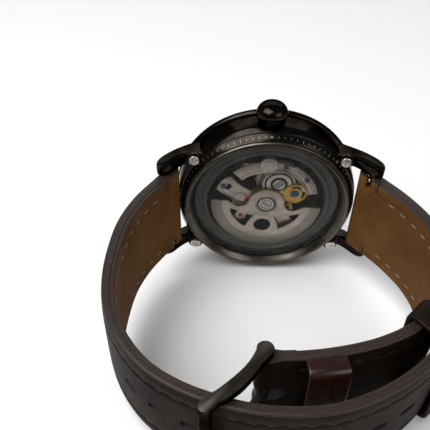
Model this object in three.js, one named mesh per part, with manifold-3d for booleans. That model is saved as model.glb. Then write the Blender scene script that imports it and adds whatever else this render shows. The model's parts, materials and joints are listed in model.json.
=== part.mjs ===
// A self-winding skeleton wristwatch on a buckled leather strap, lying on its 9 o'clock side.
// Millimetres. Every piece is drawn in the watchmaker's frame: +X to 3 o'clock (the crown),
// +Y to 12 o'clock, +Z out of the dial, origin on the dial axis in the crown's plane.
// The whole watch is then turned so that it lies at rest on the plane z = 0.
import * as THREE from "three";
import { mergeVertices } from "three/addons/utils/BufferGeometryUtils.js";
import Module from "manifold-3d";

const wasm = await Module();
wasm.setup();

// ---------------------------------------------------------------- driving dimensions
const LEAN = THREE.MathUtils.degToRad(7.7); // the case leans back onto the buckle
const REST_SHIFT = { x: -1.118, y: 28.634, z: 21.002 }; // brings the base's centre to the origin
const SIDES = 36; // facets of a large round piece
const SMALL_SIDES = 16;

const CASE_R = 21.1;
const CASE_BACK_Z = -3.3;
const CASE_FRONT_Z = 3.3;
const CASE_BORE_R = 17.7;
const LUG_INNER_X = 11.25; // half of the 22.5 mm between a pair of lugs
const LUG_OUTER_X = 14.0;
const LUG_BAR = { y: 22.2, z: -4.7 }; // spring-bar axis at each end of the case
const BAR_R = 0.75;
const SCREW_AT = { x: 13.1, y: 16.9 };
const CROWN_R = 3.5;
const STEM_R = 0.45;

const MOVEMENT_R = 13.4;
const PLATE = { top: 1.2, bottom: 0.15 }; // mainplate
const BRIDGE = { top: -2.2, bottom: -2.75 };
const WEB_T = 0.16; // thickness of a train wheel

// wheel work: tooth counts, and centre distances in mm
const T = {
  barrel: 48,
  centrePinion: 8,
  centre: 48,
  thirdPinion: 6,
  third: 45,
  fourthPinion: 6,
  fourth: 60,
  escapePinion: 6,
  escape: 15,
  ratchet: 40,
  crown: 22,
  contrate: 18,
  windingPinion: 9,
  rotor: 42,
  reduction: 28,
  cannon: 8,
  minute: 24,
  minutePinion: 8,
  hour: 32,
};
const BARREL_MODULE = 0.2225;
const WINDING_MODULE = 0.195;
const THIRD_ARM = 4.4;
const ESCAPE_ARM = 4.6;
const BALANCE_ARM = 7.5;
const BARREL_ARM = (BARREL_MODULE * (T.barrel + T.centrePinion)) / 2;
const ROTOR_MODULE = 0.204;
const REDUCTION_ARM = (ROTOR_MODULE * (T.rotor + T.reduction)) / 2;
const MOTION_ARM = 2.4; // minute wheel's distance from the dial axis
const BALANCE_R = 3.7;
const ESCAPE_R = 2.2;

// strap: half widths, and thicknesses at the lugs and at the thin end
const STRAP_HALF = { lug: 11, end: 10 };
const LINING_T = 0.9;
const OUTER_T = { lug: 2.9, end: 1.4 };
const SEAM_GAP = 0.03; // keeps glued or sewn faces from sharing a surface

const polar = (r, degrees) =>
  new THREE.Vector2(
    r * Math.cos(THREE.MathUtils.degToRad(degrees)),
    r * Math.sin(THREE.MathUtils.degToRad(degrees)),
  );

// plan of the movement
const BARREL = polar(BARREL_ARM, 25);
const THIRD = polar(THIRD_ARM, 140);
const ESCAPE = polar(ESCAPE_ARM, 277.6);
const BALANCE = polar(BALANCE_ARM, 232);
const PALLET = ESCAPE.clone().lerp(BALANCE, 0.47);
const CROWN_WHEEL_ARM = (WINDING_MODULE * (T.ratchet + T.crown)) / 2;
const CROWN_WHEEL = new THREE.Vector2(
  BARREL.x + Math.sqrt(CROWN_WHEEL_ARM ** 2 - BARREL.y ** 2),
  0,
);
const REDUCTION = polar(REDUCTION_ARM, 65.5);
const MINUTE_WHEEL = polar(MOTION_ARM, 60);
const AXIS = new THREE.Vector2(0, 0);

// ---------------------------------------------------------------- solids
function solid(geometry) {
  const bare = geometry.clone();
  bare.deleteAttribute("normal");
  bare.deleteAttribute("uv");
  const merged = mergeVertices(bare, 1e-4);
  const index = new Uint32Array(merged.index.array);
  const positions = new Float32Array(merged.attributes.position.array);
  const build = () =>
    new wasm.Manifold(new wasm.Mesh({ numProp: 3, vertProperties: positions, triVerts: index }));
  let made = build();
  if (made.volume() < 0) {
    for (let i = 0; i < index.length; i += 3) {
      [index[i + 1], index[i + 2]] = [index[i + 2], index[i + 1]];
    }
    made = build();
  }
  return made;
}

function geometryOf(made) {
  const mesh = made.getMesh();
  const positions = new Float32Array(mesh.numVert * 3);
  for (let i = 0; i < mesh.numVert; i++) {
    positions.set(mesh.vertProperties.subarray(i * mesh.numProp, i * mesh.numProp + 3), i * 3);
  }
  return new THREE.BufferGeometry()
    .setAttribute("position", new THREE.BufferAttribute(positions, 3))
    .setIndex(new THREE.BufferAttribute(new Uint32Array(mesh.triVerts), 1));
}

const union = (...made) => made.reduce((a, b) => a.add(b));

// profile: [radius, z] pairs round the section, revolved about the Z axis
function revolved(profile, sides = SIDES) {
  const points = profile.map(([r, z]) => new THREE.Vector2(r, z));
  if (profile[0][0] > 0) points.push(points[0].clone());
  return solid(new THREE.LatheGeometry(points, sides).rotateX(Math.PI / 2));
}

// shape in the XY plane, filled from z0 up to z1
function plate(shape, z0, z1, curveSegments = 8) {
  const made = new THREE.ExtrudeGeometry(shape, {
    depth: z1 - z0,
    bevelEnabled: false,
    curveSegments,
  });
  return solid(made.translate(0, 0, z0));
}

function disc(at, r, z0, z1, sides = SMALL_SIDES) {
  const made = new THREE.CylinderGeometry(r, r, z1 - z0, sides).rotateX(Math.PI / 2);
  return solid(made.translate(at.x, at.y, (z0 + z1) / 2));
}

// rod along X, for bars and the stem
function rodX(r, x0, x1, y, z, sides = SMALL_SIDES) {
  const made = new THREE.CylinderGeometry(r, r, x1 - x0, sides).rotateZ(-Math.PI / 2);
  return solid(made.translate((x0 + x1) / 2, y, z));
}

// shape whose own X and Y are the watch's Y and Z, filled from x0 up to x1
const UPRIGHT = new THREE.Matrix4().set(0, 0, 1, 0, 1, 0, 0, 0, 0, 1, 0, 0, 0, 0, 0, 1);
function extrudedAlongX(shape, x0, x1) {
  const made = new THREE.ExtrudeGeometry(shape, { depth: x1 - x0, bevelEnabled: false, curveSegments: 5 });
  return solid(made.applyMatrix4(UPRIGHT).translate(x0, 0, 0));
}

function block(x0, x1, y0, y1, z0, z1) {
  const made = new THREE.BoxGeometry(x1 - x0, y1 - y0, z1 - z0);
  return solid(made.translate((x0 + x1) / 2, (y0 + y1) / 2, (z0 + z1) / 2));
}

function circleHole(x, y, r) {
  return new THREE.Path().absarc(x, y, r, 0, 2 * Math.PI, true);
}

// points on an arc about the origin, no more than ARC_STEP degrees apart
const ARC_STEP = 10;
function arcPoints(r, from, to, step = ARC_STEP) {
  const count = Math.max(1, Math.ceil(Math.abs(to - from) / step));
  return Array.from({ length: count + 1 }, (_, i) => polar(r, from + ((to - from) * i) / count));
}
const circlePoints = (r, sides = SIDES) => arcPoints(r, 0, 360, 360 / sides).slice(0, -1);

// ring-shaped sector between two radii and two angles in degrees
function sectorPoints(inner, outer, from, to, step = ARC_STEP) {
  return [...arcPoints(outer, from, to, step), ...arcPoints(inner, to, from, step)];
}

// pointed teeth round a pitch circle; phase turns the wheel by that share of a tooth
function toothed(teeth, pitchR, module, phase = 0) {
  const shape = new THREE.Shape();
  for (let i = 0; i < teeth; i++) {
    const at = (step) => (2 * Math.PI * (i + phase + step)) / teeth;
    const put = (r, step) => {
      const x = r * Math.cos(at(step));
      const y = r * Math.sin(at(step));
      if (i === 0 && step < -0.1) shape.moveTo(x, y);
      else shape.lineTo(x, y);
    };
    put(pitchR - 1.1 * module, -0.5);
    put(pitchR + 0.85 * module, 0);
  }
  shape.closePath();
  return shape;
}

// Phase that puts a gap of the second wheel opposite a tooth of the first, on the line of centres.
function meshPhase(teethA, phaseA, a, b, teethB) {
  const turn = Math.atan2(b.y - a.y, b.x - a.x) / (2 * Math.PI);
  return (turn + 0.5) * teethB - 0.5 + turn * teethA - phaseA;
}

// windows that leave spokes between a hub and a rim
function spokes(shape, count, inner, outer, spokeDegrees) {
  for (let i = 0; i < count; i++) {
    const from = (360 / count) * i + spokeDegrees / 2;
    const to = from + 360 / count - spokeDegrees;
    shape.holes.push(new THREE.Path(sectorPoints(inner, outer, from, to, 18)));
  }
  return shape;
}

// a train wheel: toothed rim on spokes, with its pinion and arbor, centred on the Z axis
function wheel({ teeth, pitchR, module, z, pinion, arbor, arms = 4, phase = 0, thickness = WEB_T }) {
  const rim = toothed(teeth, pitchR, module, phase);
  spokes(rim, arms, pitchR * 0.22, pitchR * 0.8, 16);
  const pieces = [plate(rim, z, z + thickness, 4)];
  pieces.push(disc({ x: 0, y: 0 }, arbor.r, arbor.z0, arbor.z1, 10));
  if (pinion) {
    const leaves = toothed(pinion.teeth, pinion.r, pinion.module, pinion.phase ?? 0);
    pieces.push(plate(leaves, pinion.z0, pinion.z1));
  }
  return union(...pieces);
}

// ---------------------------------------------------------------- scene
const watch = new THREE.Group();
const finish = {
  polishedDark: { color: 0x2b2624, roughness: 0.18, metalness: 1 },
  brushedDark: { color: 0x3a3634, roughness: 0.42, metalness: 1 },
  steel: { color: 0xa9a49c, roughness: 0.3, metalness: 1 },
  plateSteel: { color: 0x8f8a82, roughness: 0.38, metalness: 1 },
  brass: { color: 0xc08f3c, roughness: 0.3, metalness: 1 },
  blued: { color: 0x2c4a66, roughness: 0.25, metalness: 1 },
  glass: { color: 0xf2f5f5, roughness: 0.05, metalness: 0 },
  holder: { color: 0x1c1c1c, roughness: 0.6, metalness: 0 },
  leather: { color: 0x2a1b16, roughness: 0.5, metalness: 0 },
  keeperLeather: { color: 0x3a1a15, roughness: 0.35, metalness: 0 },
  lining: { color: 0x8a6238, roughness: 0.75, metalness: 0 },
  dial: { color: 0x24221f, roughness: 0.5, metalness: 0.3 },
  hands: { color: 0xd8d4cc, roughness: 0.25, metalness: 1 },
};

function piece(name, look, made, at = null, parent = watch) {
  const mesh = new THREE.Mesh(geometryOf(made), new THREE.MeshStandardMaterial(finish[look]));
  mesh.name = name;
  if (at) mesh.position.set(at.x, at.y, at.z ?? 0);
  parent.add(mesh);
  return mesh;
}

// ---------------------------------------------------------------- case
// side view of one lug at the 12 o'clock end, as [y, z]
const LUG_OUTLINE = [
  [13.5, -3.3],
  [18.7, -3.3],
  [21.4, -5.7],
  [23.6, -7.5],
  [24.6, -7.4],
  [25.1, -6.4],
  [24.3, -4.2],
  [22.2, -1.9],
  [19.4, 0.2],
  [16.5, 2.0],
  [13.5, 2.6],
];

function lug(side, end) {
  const shape = new THREE.Shape(LUG_OUTLINE.map(([y, z]) => new THREE.Vector2(end * y, z)));
  const x = side > 0 ? LUG_INNER_X : -LUG_OUTER_X;
  return extrudedAlongX(shape, x, x + LUG_OUTER_X - LUG_INNER_X);
}

function screwSites() {
  return [1, -1].flatMap((sx) => [1, -1].map((sy) => ({ x: sx * SCREW_AT.x, y: sy * SCREW_AT.y })));
}

function caseMiddle() {
  const ring = revolved([
    [CASE_BORE_R, CASE_BACK_Z],
    [20.3, CASE_BACK_Z],
    [20.95, -1.8],
    [CASE_R, 0.4],
    [CASE_R, 2.2],
    [20.8, CASE_FRONT_Z],
    [CASE_BORE_R, CASE_FRONT_Z],
  ]);
  let made = ring;
  for (const side of [1, -1]) for (const end of [1, -1]) made = made.add(lug(side, end));
  made = made.subtract(disc({ x: 0, y: 0 }, CASE_BORE_R, -9, 9, SIDES));
  for (const end of [1, -1]) {
    const tips = rodX(0.5, -12.6, 12.6, end * LUG_BAR.y, LUG_BAR.z, 12);
    made = made.subtract(tips);
  }
  for (const at of screwSites()) made = made.subtract(disc(at, 0.75, -5, -1.2, 12));
  return made.subtract(rodX(1.25, 10, 24, 0, 0, SMALL_SIDES));
}

function caseBack() {
  const flange = revolved([
    [18.1, -4.0],
    [18.1, CASE_BACK_Z - 0.05],
    [20.2, CASE_BACK_Z - 0.05],
    [20.5, -3.75],
    [19.4, -5.25],
    [18.1, -5.25],
  ]);
  let made = flange;
  for (const at of screwSites()) {
    made = made.add(disc(at, 1.75, -3.95, CASE_BACK_Z - 0.05, 14));
  }
  for (const at of screwSites()) made = made.subtract(disc(at, 0.8, -9, -2, 8));
  for (const at of screwSites()) made = made.subtract(disc(at, 1.35, -9, -3.95, 12));
  return made;
}

piece("case_middle", "polishedDark", caseMiddle());
piece(
  "bezel",
  "polishedDark",
  revolved([
    [17.9, 3.4],
    [20.9, 3.4],
    [21.3, 4.2],
    [21.0, 5.1],
    [19.8, 5.9],
    [18.35, 5.7],
    [18.35, 4.1],
    [17.9, 4.1],
  ]),
);
piece(
  "front_crystal",
  "glass",
  revolved(
    [
      [0, 4.2],
      [18.25, 4.2],
      [18.25, 5.55],
      [17.5, 6.1],
      [16.4, 6.25],
      [0, 6.25],
    ],
    SIDES,
  ),
);
piece(
  "flange_ring",
  "brushedDark",
  revolved(
    [
      [16.3, 1.75],
      [17.5, 1.75],
      [17.5, 3.9],
      [17.3, 4.1],
    ],
    SIDES,
  ),
);
piece("case_back", "polishedDark", caseBack());
piece(
  "window_ring",
  "steel",
  revolved([
    [17.3, -4.35],
    [18.05, -4.35],
    [18.05, -5.3],
    [19.3, -5.3],
    [19.1, -5.7],
    [18.4, -5.8],
    [17.3, -4.6],
  ]),
);
piece(
  "case_back_crystal",
  "glass",
  revolved(
    [
      [0, -5.25],
      [17.2, -5.25],
      [17.2, -4.4],
      [0, -4.4],
    ],
    SIDES,
  ),
);
function caseBackScrew() {
  const head = disc({ x: 0, y: 0 }, 1.25, -4.55, -4.0, SMALL_SIDES);
  const shank = disc({ x: 0, y: 0 }, 0.7, -4.1, -1.4, 12);
  const slot = block(-0.16, 0.16, -2, 2, -4.6, -4.3);
  const cross = block(-2, 2, -0.16, 0.16, -4.6, -4.3);
  return head.add(shank).subtract(slot).subtract(cross);
}
screwSites().forEach((at, i) => piece(`case_back_screw_${i + 1}`, "steel", caseBackScrew(), at));

function ringX(inner, outer, x0, x1, sides = 20) {
  return rodX(outer, x0, x1, 0, 0, sides).subtract(rodX(inner, x0 - 1, x1 + 1, 0, 0, sides));
}
piece("crown_tube", "steel", ringX(0.6, 1.15, 17.9, 21.6));

// the crown is a smooth onion dome; the winding stem ends in its socket
function crownDome() {
  const dome = revolved(
    [
      [0, 21.75],
      [2.6, 21.75],
      [3.2, 22.05],
      [CROWN_R, 22.9],
      [3.3, 24.0],
      [2.6, 24.9],
      [1.4, 25.5],
      [0, 25.7],
    ],
    28,
  );
  const upright = dome.rotate([0, 90, 0]);
  const socket = rodX(0.5, 20, 24, 0, 0, 12);
  const recess = ringX(-1, 1.35, 21, 22.4, 20);
  return upright.subtract(recess).subtract(socket);
}
piece("crown", "polishedDark", crownDome());

function windingStem() {
  const rod = rodX(STEM_R, 5.6, 23.7, 0, 0, 12);
  const teeth = toothed(T.windingPinion, 0.66, 0.11);
  const pinion = plate(teeth, 0, 0.8).rotate([0, 90, 0]).translate([9.2, 0, 0]);
  const clutch = rodX(0.68, 7.0, 8.7, 0, 0, 12).subtract(ringX(0.5, 1, 7.6, 8.1, 12));
  return union(rod, pinion, clutch);
}
piece("winding_stem", "steel", windingStem());

// plate whose fork sits in the stem's groove: it moves in and out with the stem
function settingLever() {
  const stem = rodX(0.56, 7, 9, 0, 0, 14);
  const mouth = block(7, 9, -0.56, 2, -0.56, 0.56);
  return block(7.7, 8.0, -1.15, 1.15, -0.35, 0.35).subtract(stem).subtract(mouth);
}
piece("setting_lever", "steel", settingLever());

function movementHolder() {
  const ring = revolved(
    [
      [13.65, -3.2],
      [16.9, -3.2],
      [17.55, -2.6],
      [17.55, 1.2],
      [13.65, 1.2],
    ],
    SIDES,
  );
  return ring.subtract(rodX(1.3, 12, 19, 0, 0, 12));
}
piece("movement_holder", "holder", movementHolder());

// ---------------------------------------------------------------- movement: plates and bridges
function mainplate() {
  const shape = new THREE.Shape(circlePoints(MOVEMENT_R));
  // the plate is sawn out over the barrel and round the centre of the going train
  for (const [inner, outer, from, to] of [
    [3.0, 9.0, 14, 47],
    [2.1, 4.9, 118, 158],
    [2.1, 7.2, 168, 196],
    [2.1, 4.6, 206, 236],
  ]) {
    shape.holes.push(new THREE.Path(sectorPoints(inner, outer, from, to)));
  }
  shape.holes.push(circleHole(0, 0, 1.5));
  shape.holes.push(circleHole(BALANCE.x, BALANCE.y, 0.35));
  const made = plate(shape, PLATE.bottom, PLATE.top, 8);
  return made.subtract(block(5.2, 14, -1.25, 1.25, -1, 0.95));
}
piece("mainplate", "plateSteel", mainplate());

// pillar that carries a bridge on the mainplate
const pillar = (at, r = 0.9) => disc(at, r, BRIDGE.top - 0.1, PLATE.bottom - 0.05, 12);

const BARREL_FEET = [polar(11.3, -26), polar(11.3, 54)];
function barrelBridge() {
  // a broad arc beside the barrel, a narrow one round the reduction wheel, and an arm to its seat
  const arcs = [
    [8.7, 11.8, -43, -3],
    [7.8, 11.8, -6, 33],
    [9.6, 12.2, 30, 78],
    [7.2, 9.8, 60, 71],
  ].map((span) => plate(new THREE.Shape(sectorPoints(...span)), BRIDGE.bottom, BRIDGE.top));
  const boss = disc(BARREL, 2.3, BRIDGE.bottom, BRIDGE.top, 24);
  const seat = disc(REDUCTION, 1.3, BRIDGE.bottom, BRIDGE.top, 16);
  let made = union(...arcs, boss, seat, ...BARREL_FEET.map((at) => pillar(at)));
  made = made.subtract(disc(BARREL, 0.75, -4, 0, 12));
  return made.subtract(disc(CROWN_WHEEL, 0.45, -4, 0, 12));
}
piece("barrel_bridge", "plateSteel", barrelBridge());

const TRAIN_FEET = [polar(11.2, -66), polar(11.6, 146)];
function trainBridge() {
  const shape = new THREE.Shape();
  shape.moveTo(3.6, -11.9);
  shape.quadraticCurveTo(7.2, -10.6, 7.4, -8.4);
  shape.quadraticCurveTo(4.2, -6.4, 3.0, -3.4);
  shape.quadraticCurveTo(3.3, 0.6, 0.4, 2.4);
  shape.quadraticCurveTo(-2.2, 4.8, -5.4, 6.2);
  shape.quadraticCurveTo(-7.8, 7.6, -8.4, 9.4);
  shape.quadraticCurveTo(-11.2, 8.6, -12.0, 5.4);
  shape.quadraticCurveTo(-8.6, 3.4, -5.6, 1.2);
  shape.quadraticCurveTo(-3.6, -0.6, -1.7, -1.9);
  shape.quadraticCurveTo(-1.0, -4.4, -0.4, -5.9);
  shape.quadraticCurveTo(0.9, -9.2, 3.6, -11.9);
  const holes = [circleHole(0, 0, 0.5), circleHole(4.4, -9.2, 0.9)];
  for (const at of [THIRD, ESCAPE]) holes.push(circleHole(at.x, at.y, 0.32));
  shape.holes.push(...holes);
  const seat = disc({ x: 0.9, y: -6.2 }, 2.1, BRIDGE.bottom, BRIDGE.top, 24); // over the escape wheel
  const web = plate(shape, BRIDGE.bottom, BRIDGE.top, 4);
  const made = union(web, seat).subtract(disc(ESCAPE, 0.32, -4, 0, 12));
  return union(made, ...TRAIN_FEET.map((at) => pillar(at, 0.8)));
}
piece("train_bridge", "plateSteel", trainBridge());

const COCK_FOOT = polar(12.2, 232);
function balanceCock() {
  const shape = new THREE.Shape();
  const d = BALANCE.clone().normalize();
  const n = new THREE.Vector2(-d.y, d.x);
  const at = (along, across) => d.clone().multiplyScalar(along).addScaledVector(n, across);
  shape.moveTo(at(6.6, -0.9).x, at(6.6, -0.9).y);
  for (const [along, across] of [
    [9.4, -1.0],
    [11.2, -2.6],
    [12.8, -2.0],
    [12.8, 2.0],
    [11.2, 2.6],
    [9.4, 1.0],
    [6.6, 0.9],
  ]) {
    shape.lineTo(at(along, across).x, at(along, across).y);
  }
  shape.closePath();
  const arm = plate(shape, BRIDGE.bottom, BRIDGE.top);
  const eye = disc(BALANCE, 1.3, BRIDGE.bottom, BRIDGE.top, 20);
  return union(arm, eye, pillar(COCK_FOOT)).subtract(disc(BALANCE, 0.3, -4, 0, 10));
}
piece("balance_cock", "plateSteel", balanceCock());

// hour ring of the openworked dial, its twelve markers standing on it
function dialRing() {
  const shape = new THREE.Shape(circlePoints(16.1));
  shape.holes.push(new THREE.Path(circlePoints(12.6).reverse()));
  let made = plate(shape, 1.3, 1.7);
  for (let hour = 0; hour < 12; hour++) {
    const marker = block(13.0, 15.4, -0.35, 0.35, 1.6, 2.0);
    made = made.add(marker.rotate([0, 0, hour * 30]));
  }
  return made;
}
piece("dial_ring", "dial", dialRing());

function bridgeScrew() {
  const head = disc({ x: 0, y: 0 }, 0.62, BRIDGE.bottom - 0.36, BRIDGE.bottom - 0.04, 14);
  const cut = BRIDGE.bottom - 0.24;
  return head.subtract(block(-1, 1, -0.09, 0.09, BRIDGE.bottom - 0.5, cut));
}
const SCREWS = [polar(11.1, 21), BARREL_FEET[1], ...TRAIN_FEET, COCK_FOOT];
SCREWS.forEach((at, i) => piece(`bridge_screw_${i + 1}`, "blued", bridgeScrew(), at));

// ---------------------------------------------------------------- movement: going train
function barrel() {
  const teeth = toothed(T.barrel, (BARREL_MODULE * T.barrel) / 2, BARREL_MODULE);
  const flange = plate(teeth, -1.15, -0.9);
  const drum = revolved(
    [
      [0.62, -0.9],
      [4.85, -0.9],
      [4.85, -1.8],
      [4.55, -1.8],
      [4.55, -1.15],
      [0.62, -1.15],
    ],
    24,
  );
  const bore = disc({ x: 0, y: 0 }, 0.62, -3, 0, 16);
  return flange.subtract(bore).add(drum);
}
piece("barrel", "brass", barrel(), BARREL);

// ribbon wound from an inner to an outer radius; each turn is `sides` straight runs
function spiralRibbon(inner, outer, turns, thickness, z0, z1, sides) {
  const steps = Math.round(turns * sides);
  const point = (i, side) => {
    const r = inner + ((outer - inner) * i) / steps + (side * thickness) / 2;
    return polar(r, (360 * turns * i) / steps);
  };
  const outline = [];
  for (let i = 0; i <= steps; i++) outline.push(point(i, 1));
  for (let i = steps; i >= 0; i--) outline.push(point(i, -1));
  return plate(new THREE.Shape(outline), z0, z1);
}
piece("mainspring", "steel", spiralRibbon(0.95, 4.3, 3, 0.3, -1.75, -1.22, 12), BARREL);

const thirdModule = (2 * THIRD_ARM) / (T.centre + T.thirdPinion);
const fourthModule = (2 * THIRD_ARM) / (T.third + T.fourthPinion);
const escapeModule = (2 * ESCAPE_ARM) / (T.fourth + T.escapePinion);

function centreWheel() {
  const made = wheel({
    teeth: T.centre,
    pitchR: (thirdModule * T.centre) / 2,
    module: thirdModule,
    z: -0.5,
    arbor: { r: 0.6, z0: -1.3, z1: 0.5 },
    pinion: {
      teeth: T.centrePinion,
      r: (BARREL_MODULE * T.centrePinion) / 2,
      module: BARREL_MODULE,
      phase: meshPhase(T.barrel, 0, BARREL, AXIS, T.centrePinion),
      z0: -1.3,
      z1: -0.62,
    },
  });
  return made.subtract(disc({ x: 0, y: 0 }, 0.34, -3, 3, 12));
}
piece("centre_wheel", "brass", centreWheel());

piece(
  "third_wheel",
  "brass",
  wheel({
    teeth: T.third,
    pitchR: (fourthModule * T.third) / 2,
    module: fourthModule,
    z: -1.66,
    arbor: { r: 0.2, z0: -2.6, z1: 0.1 },
    pinion: {
      teeth: T.thirdPinion,
      r: (thirdModule * T.thirdPinion) / 2,
      module: thirdModule,
      phase: meshPhase(T.centre, 0, AXIS, THIRD, T.thirdPinion),
      z0: -0.62,
      z1: -0.22,
    },
  }),
  THIRD,
);

// the fourth wheel turns once a minute; its long arbor carries the seconds hand
function fourthWheel() {
  return wheel({
    teeth: T.fourth,
    pitchR: (escapeModule * T.fourth) / 2,
    module: escapeModule,
    z: -2.07,
    arbor: { r: 0.2, z0: -2.7, z1: 3.5 },
    pinion: {
      teeth: T.fourthPinion,
      r: (fourthModule * T.fourthPinion) / 2,
      module: fourthModule,
      phase: meshPhase(T.third, 0, THIRD, AXIS, T.fourthPinion),
      z0: -1.95,
      z1: -1.42,
    },
  });
}
piece("fourth_wheel", "brass", fourthWheel());

// fifteen raked teeth
function escapeWheel() {
  const shape = new THREE.Shape();
  for (let i = 0; i < T.escape; i++) {
    const degrees = (360 / T.escape) * i;
    const root = polar(ESCAPE_R * 0.74, degrees);
    if (i === 0) shape.moveTo(root.x, root.y);
    else shape.lineTo(root.x, root.y);
    for (const [r, turn] of [
      [0.97, 8],
      [1.0, 12],
      [0.76, 13],
    ]) {
      const p = polar(ESCAPE_R * r, degrees + turn);
      shape.lineTo(p.x, p.y);
    }
  }
  shape.closePath();
  spokes(shape, 3, 0.55, 1.3, 30);
  const pinionR = (escapeModule * T.escapePinion) / 2;
  const phase = meshPhase(T.fourth, 0, AXIS, ESCAPE, T.escapePinion);
  return union(
    plate(shape, -1.08, -0.92, 4),
    disc({ x: 0, y: 0 }, 0.16, -2.6, 0.1, 8),
    disc({ x: 0, y: 0 }, 0.62, -1.08, -0.92, 12),
    plate(toothed(T.escapePinion, pinionR, escapeModule, phase), -2.12, -1.75),
  );
}
piece("escape_wheel", "steel", escapeWheel(), ESCAPE);

// lever with two pallet arms reaching over the escape wheel, and a fork that ends at the roller
function palletFork() {
  const shape = new THREE.Shape();
  const outline = [
    [-1.95, 1.35],
    [-1.6, 1.62],
    [-0.3, 0.42],
    [0.35, 0.3],
    [1.75, 0.16],
    [2.0, 0.34],
    [2.12, 0.28],
    [2.0, 0],
    [2.12, -0.28],
    [2.0, -0.34],
    [1.75, -0.16],
    [0.35, -0.3],
    [-0.3, -0.42],
    [-1.6, -1.62],
    [-1.95, -1.35],
    [-0.75, 0],
  ];
  outline.forEach(([x, y], i) => (i ? shape.lineTo(x, y) : shape.moveTo(x, y)));
  shape.closePath();
  return plate(shape, -0.85, -0.7).add(disc({ x: 0, y: 0 }, 0.16, -1.2, 0.1, 8));
}
const fork = piece("pallet_fork", "steel", palletFork(), PALLET);
fork.rotation.z = Math.atan2(BALANCE.y - ESCAPE.y, BALANCE.x - ESCAPE.x);

function balanceWheel() {
  const shape = new THREE.Shape(circlePoints(BALANCE_R, 32));
  spokes(shape, 3, 0.75, BALANCE_R - 0.5, 14);
  return union(
    plate(shape, -1.7, -1.35),
    disc({ x: 0, y: 0 }, 0.18, -2.72, 0.1, 8),
    disc({ x: 0, y: 0 }, 0.55, -1.4, -0.7, 12),
  );
}
piece("balance_wheel", "brass", balanceWheel(), BALANCE);
piece("hairspring", "blued", spiralRibbon(0.5, 2.4, 4, 0.09, -2.05, -1.88, 11), BALANCE);

// ---------------------------------------------------------------- winding work
function ratchetWheel() {
  const shape = toothed(T.ratchet, (WINDING_MODULE * T.ratchet) / 2, WINDING_MODULE);
  const made = union(
    plate(shape, -3.15, -2.9),
    disc({ x: 0, y: 0 }, 0.6, -2.95, -0.95, 14),
    disc({ x: 0, y: 0 }, 1.3, -3.42, -3.1, 20),
  );
  return made.subtract(block(-2, 2, -0.14, 0.14, -3.6, -3.26));
}
piece("ratchet_wheel", "steel", ratchetWheel(), BARREL);

function crownWheel() {
  const phase = meshPhase(T.ratchet, 0, BARREL, CROWN_WHEEL, T.crown);
  const spur = toothed(T.crown, (WINDING_MODULE * T.crown) / 2, WINDING_MODULE, phase);
  const contrate = toothed(T.contrate, 1.3, 0.14);
  return union(
    plate(spur, -3.15, -2.9),
    disc({ x: 0, y: 0 }, 0.36, -2.95, -0.76, 12),
    plate(contrate, -0.85, -0.74),
  );
}
piece("crown_wheel", "steel", crownWheel(), CROWN_WHEEL);

const CLICK = { x: BARREL.x - 2.8, y: BARREL.y - 4.93 };
function click() {
  const shape = new THREE.Shape();
  shape.absarc(0, 0, 0.65, Math.PI * 0.75, Math.PI * 2.1, false);
  shape.lineTo(1.05, 1.28);
  shape.lineTo(0.75, 1.3);
  shape.closePath();
  return plate(shape, -3.12, -2.88, 6);
}
piece("click", "steel", click(), CLICK);

const ROTOR_TURN = 5.5; // degrees from straight down, towards 6 o'clock
const ROTOR_ANGLE = -90 + ROTOR_TURN;
function reductionWheel() {
  const rotorPhase = (ROTOR_ANGLE / 360) * T.rotor;
  const phase = meshPhase(T.rotor, rotorPhase, AXIS, REDUCTION, T.reduction);
  const rim = toothed(T.reduction, (ROTOR_MODULE * T.reduction) / 2, ROTOR_MODULE, phase);
  spokes(rim, 3, 1.35, 2.15, 60);
  return plate(rim, -3.46, -3.24, 6).add(disc({ x: 0, y: 0 }, 0.5, -3.4, -2.8, 12));
}
piece("reduction_wheel", "brass", reductionWheel(), REDUCTION);

// ---------------------------------------------------------------- rotor
const ROTOR_R = 13.1;
// half a disc, drawn with its heavy side towards -Y and turned to 9 o'clock afterwards
function rotorShape() {
  const shape = new THREE.Shape(arcPoints(ROTOR_R, 180, 360, 8));
  shape.lineTo(9.0, 0.05);
  shape.quadraticCurveTo(7.6, -1.5, 6.2, -1.45);
  shape.quadraticCurveTo(4.7, -1.3, 4.2, 0.6);
  for (const p of arcPoints(4.3, 10, 170, 16)) shape.lineTo(p.x, p.y);
  shape.quadraticCurveTo(-4.7, -1.3, -6.2, -1.45);
  shape.quadraticCurveTo(-7.6, -1.5, -9.0, 0.05);
  shape.closePath();
  shape.holes.push(circleHole(0, -6.75, 2.05));
  for (const side of [1, -1]) {
    const window = new THREE.Path();
    window.moveTo(side * 8.5, -2.1);
    window.quadraticCurveTo(side * 7.9, -5.6, side * 4.05, -7.85);
    window.quadraticCurveTo(side * 3.6, -5.2, side * 2.25, -3.9);
    window.quadraticCurveTo(side * 5.2, -3.6, side * 8.5, -2.1);
    shape.holes.push(window);
  }
  shape.holes.push(circleHole(0, 0, 2.5));
  return shape;
}
function rotor() {
  const web = plate(rotorShape(), -3.95, -3.6, 6);
  const rim = plate(new THREE.Shape(sectorPoints(10.5, ROTOR_R, 180, 360, 8)), -3.7, -3.3);
  const gear = toothed(T.rotor, (ROTOR_MODULE * T.rotor) / 2, ROTOR_MODULE);
  gear.holes.push(circleHole(0, 0, 2.5));
  return union(web, rim, plate(gear, -3.62, -3.24, 6)).rotate([0, 0, ROTOR_ANGLE]);
}
piece("rotor", "plateSteel", rotor());

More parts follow.
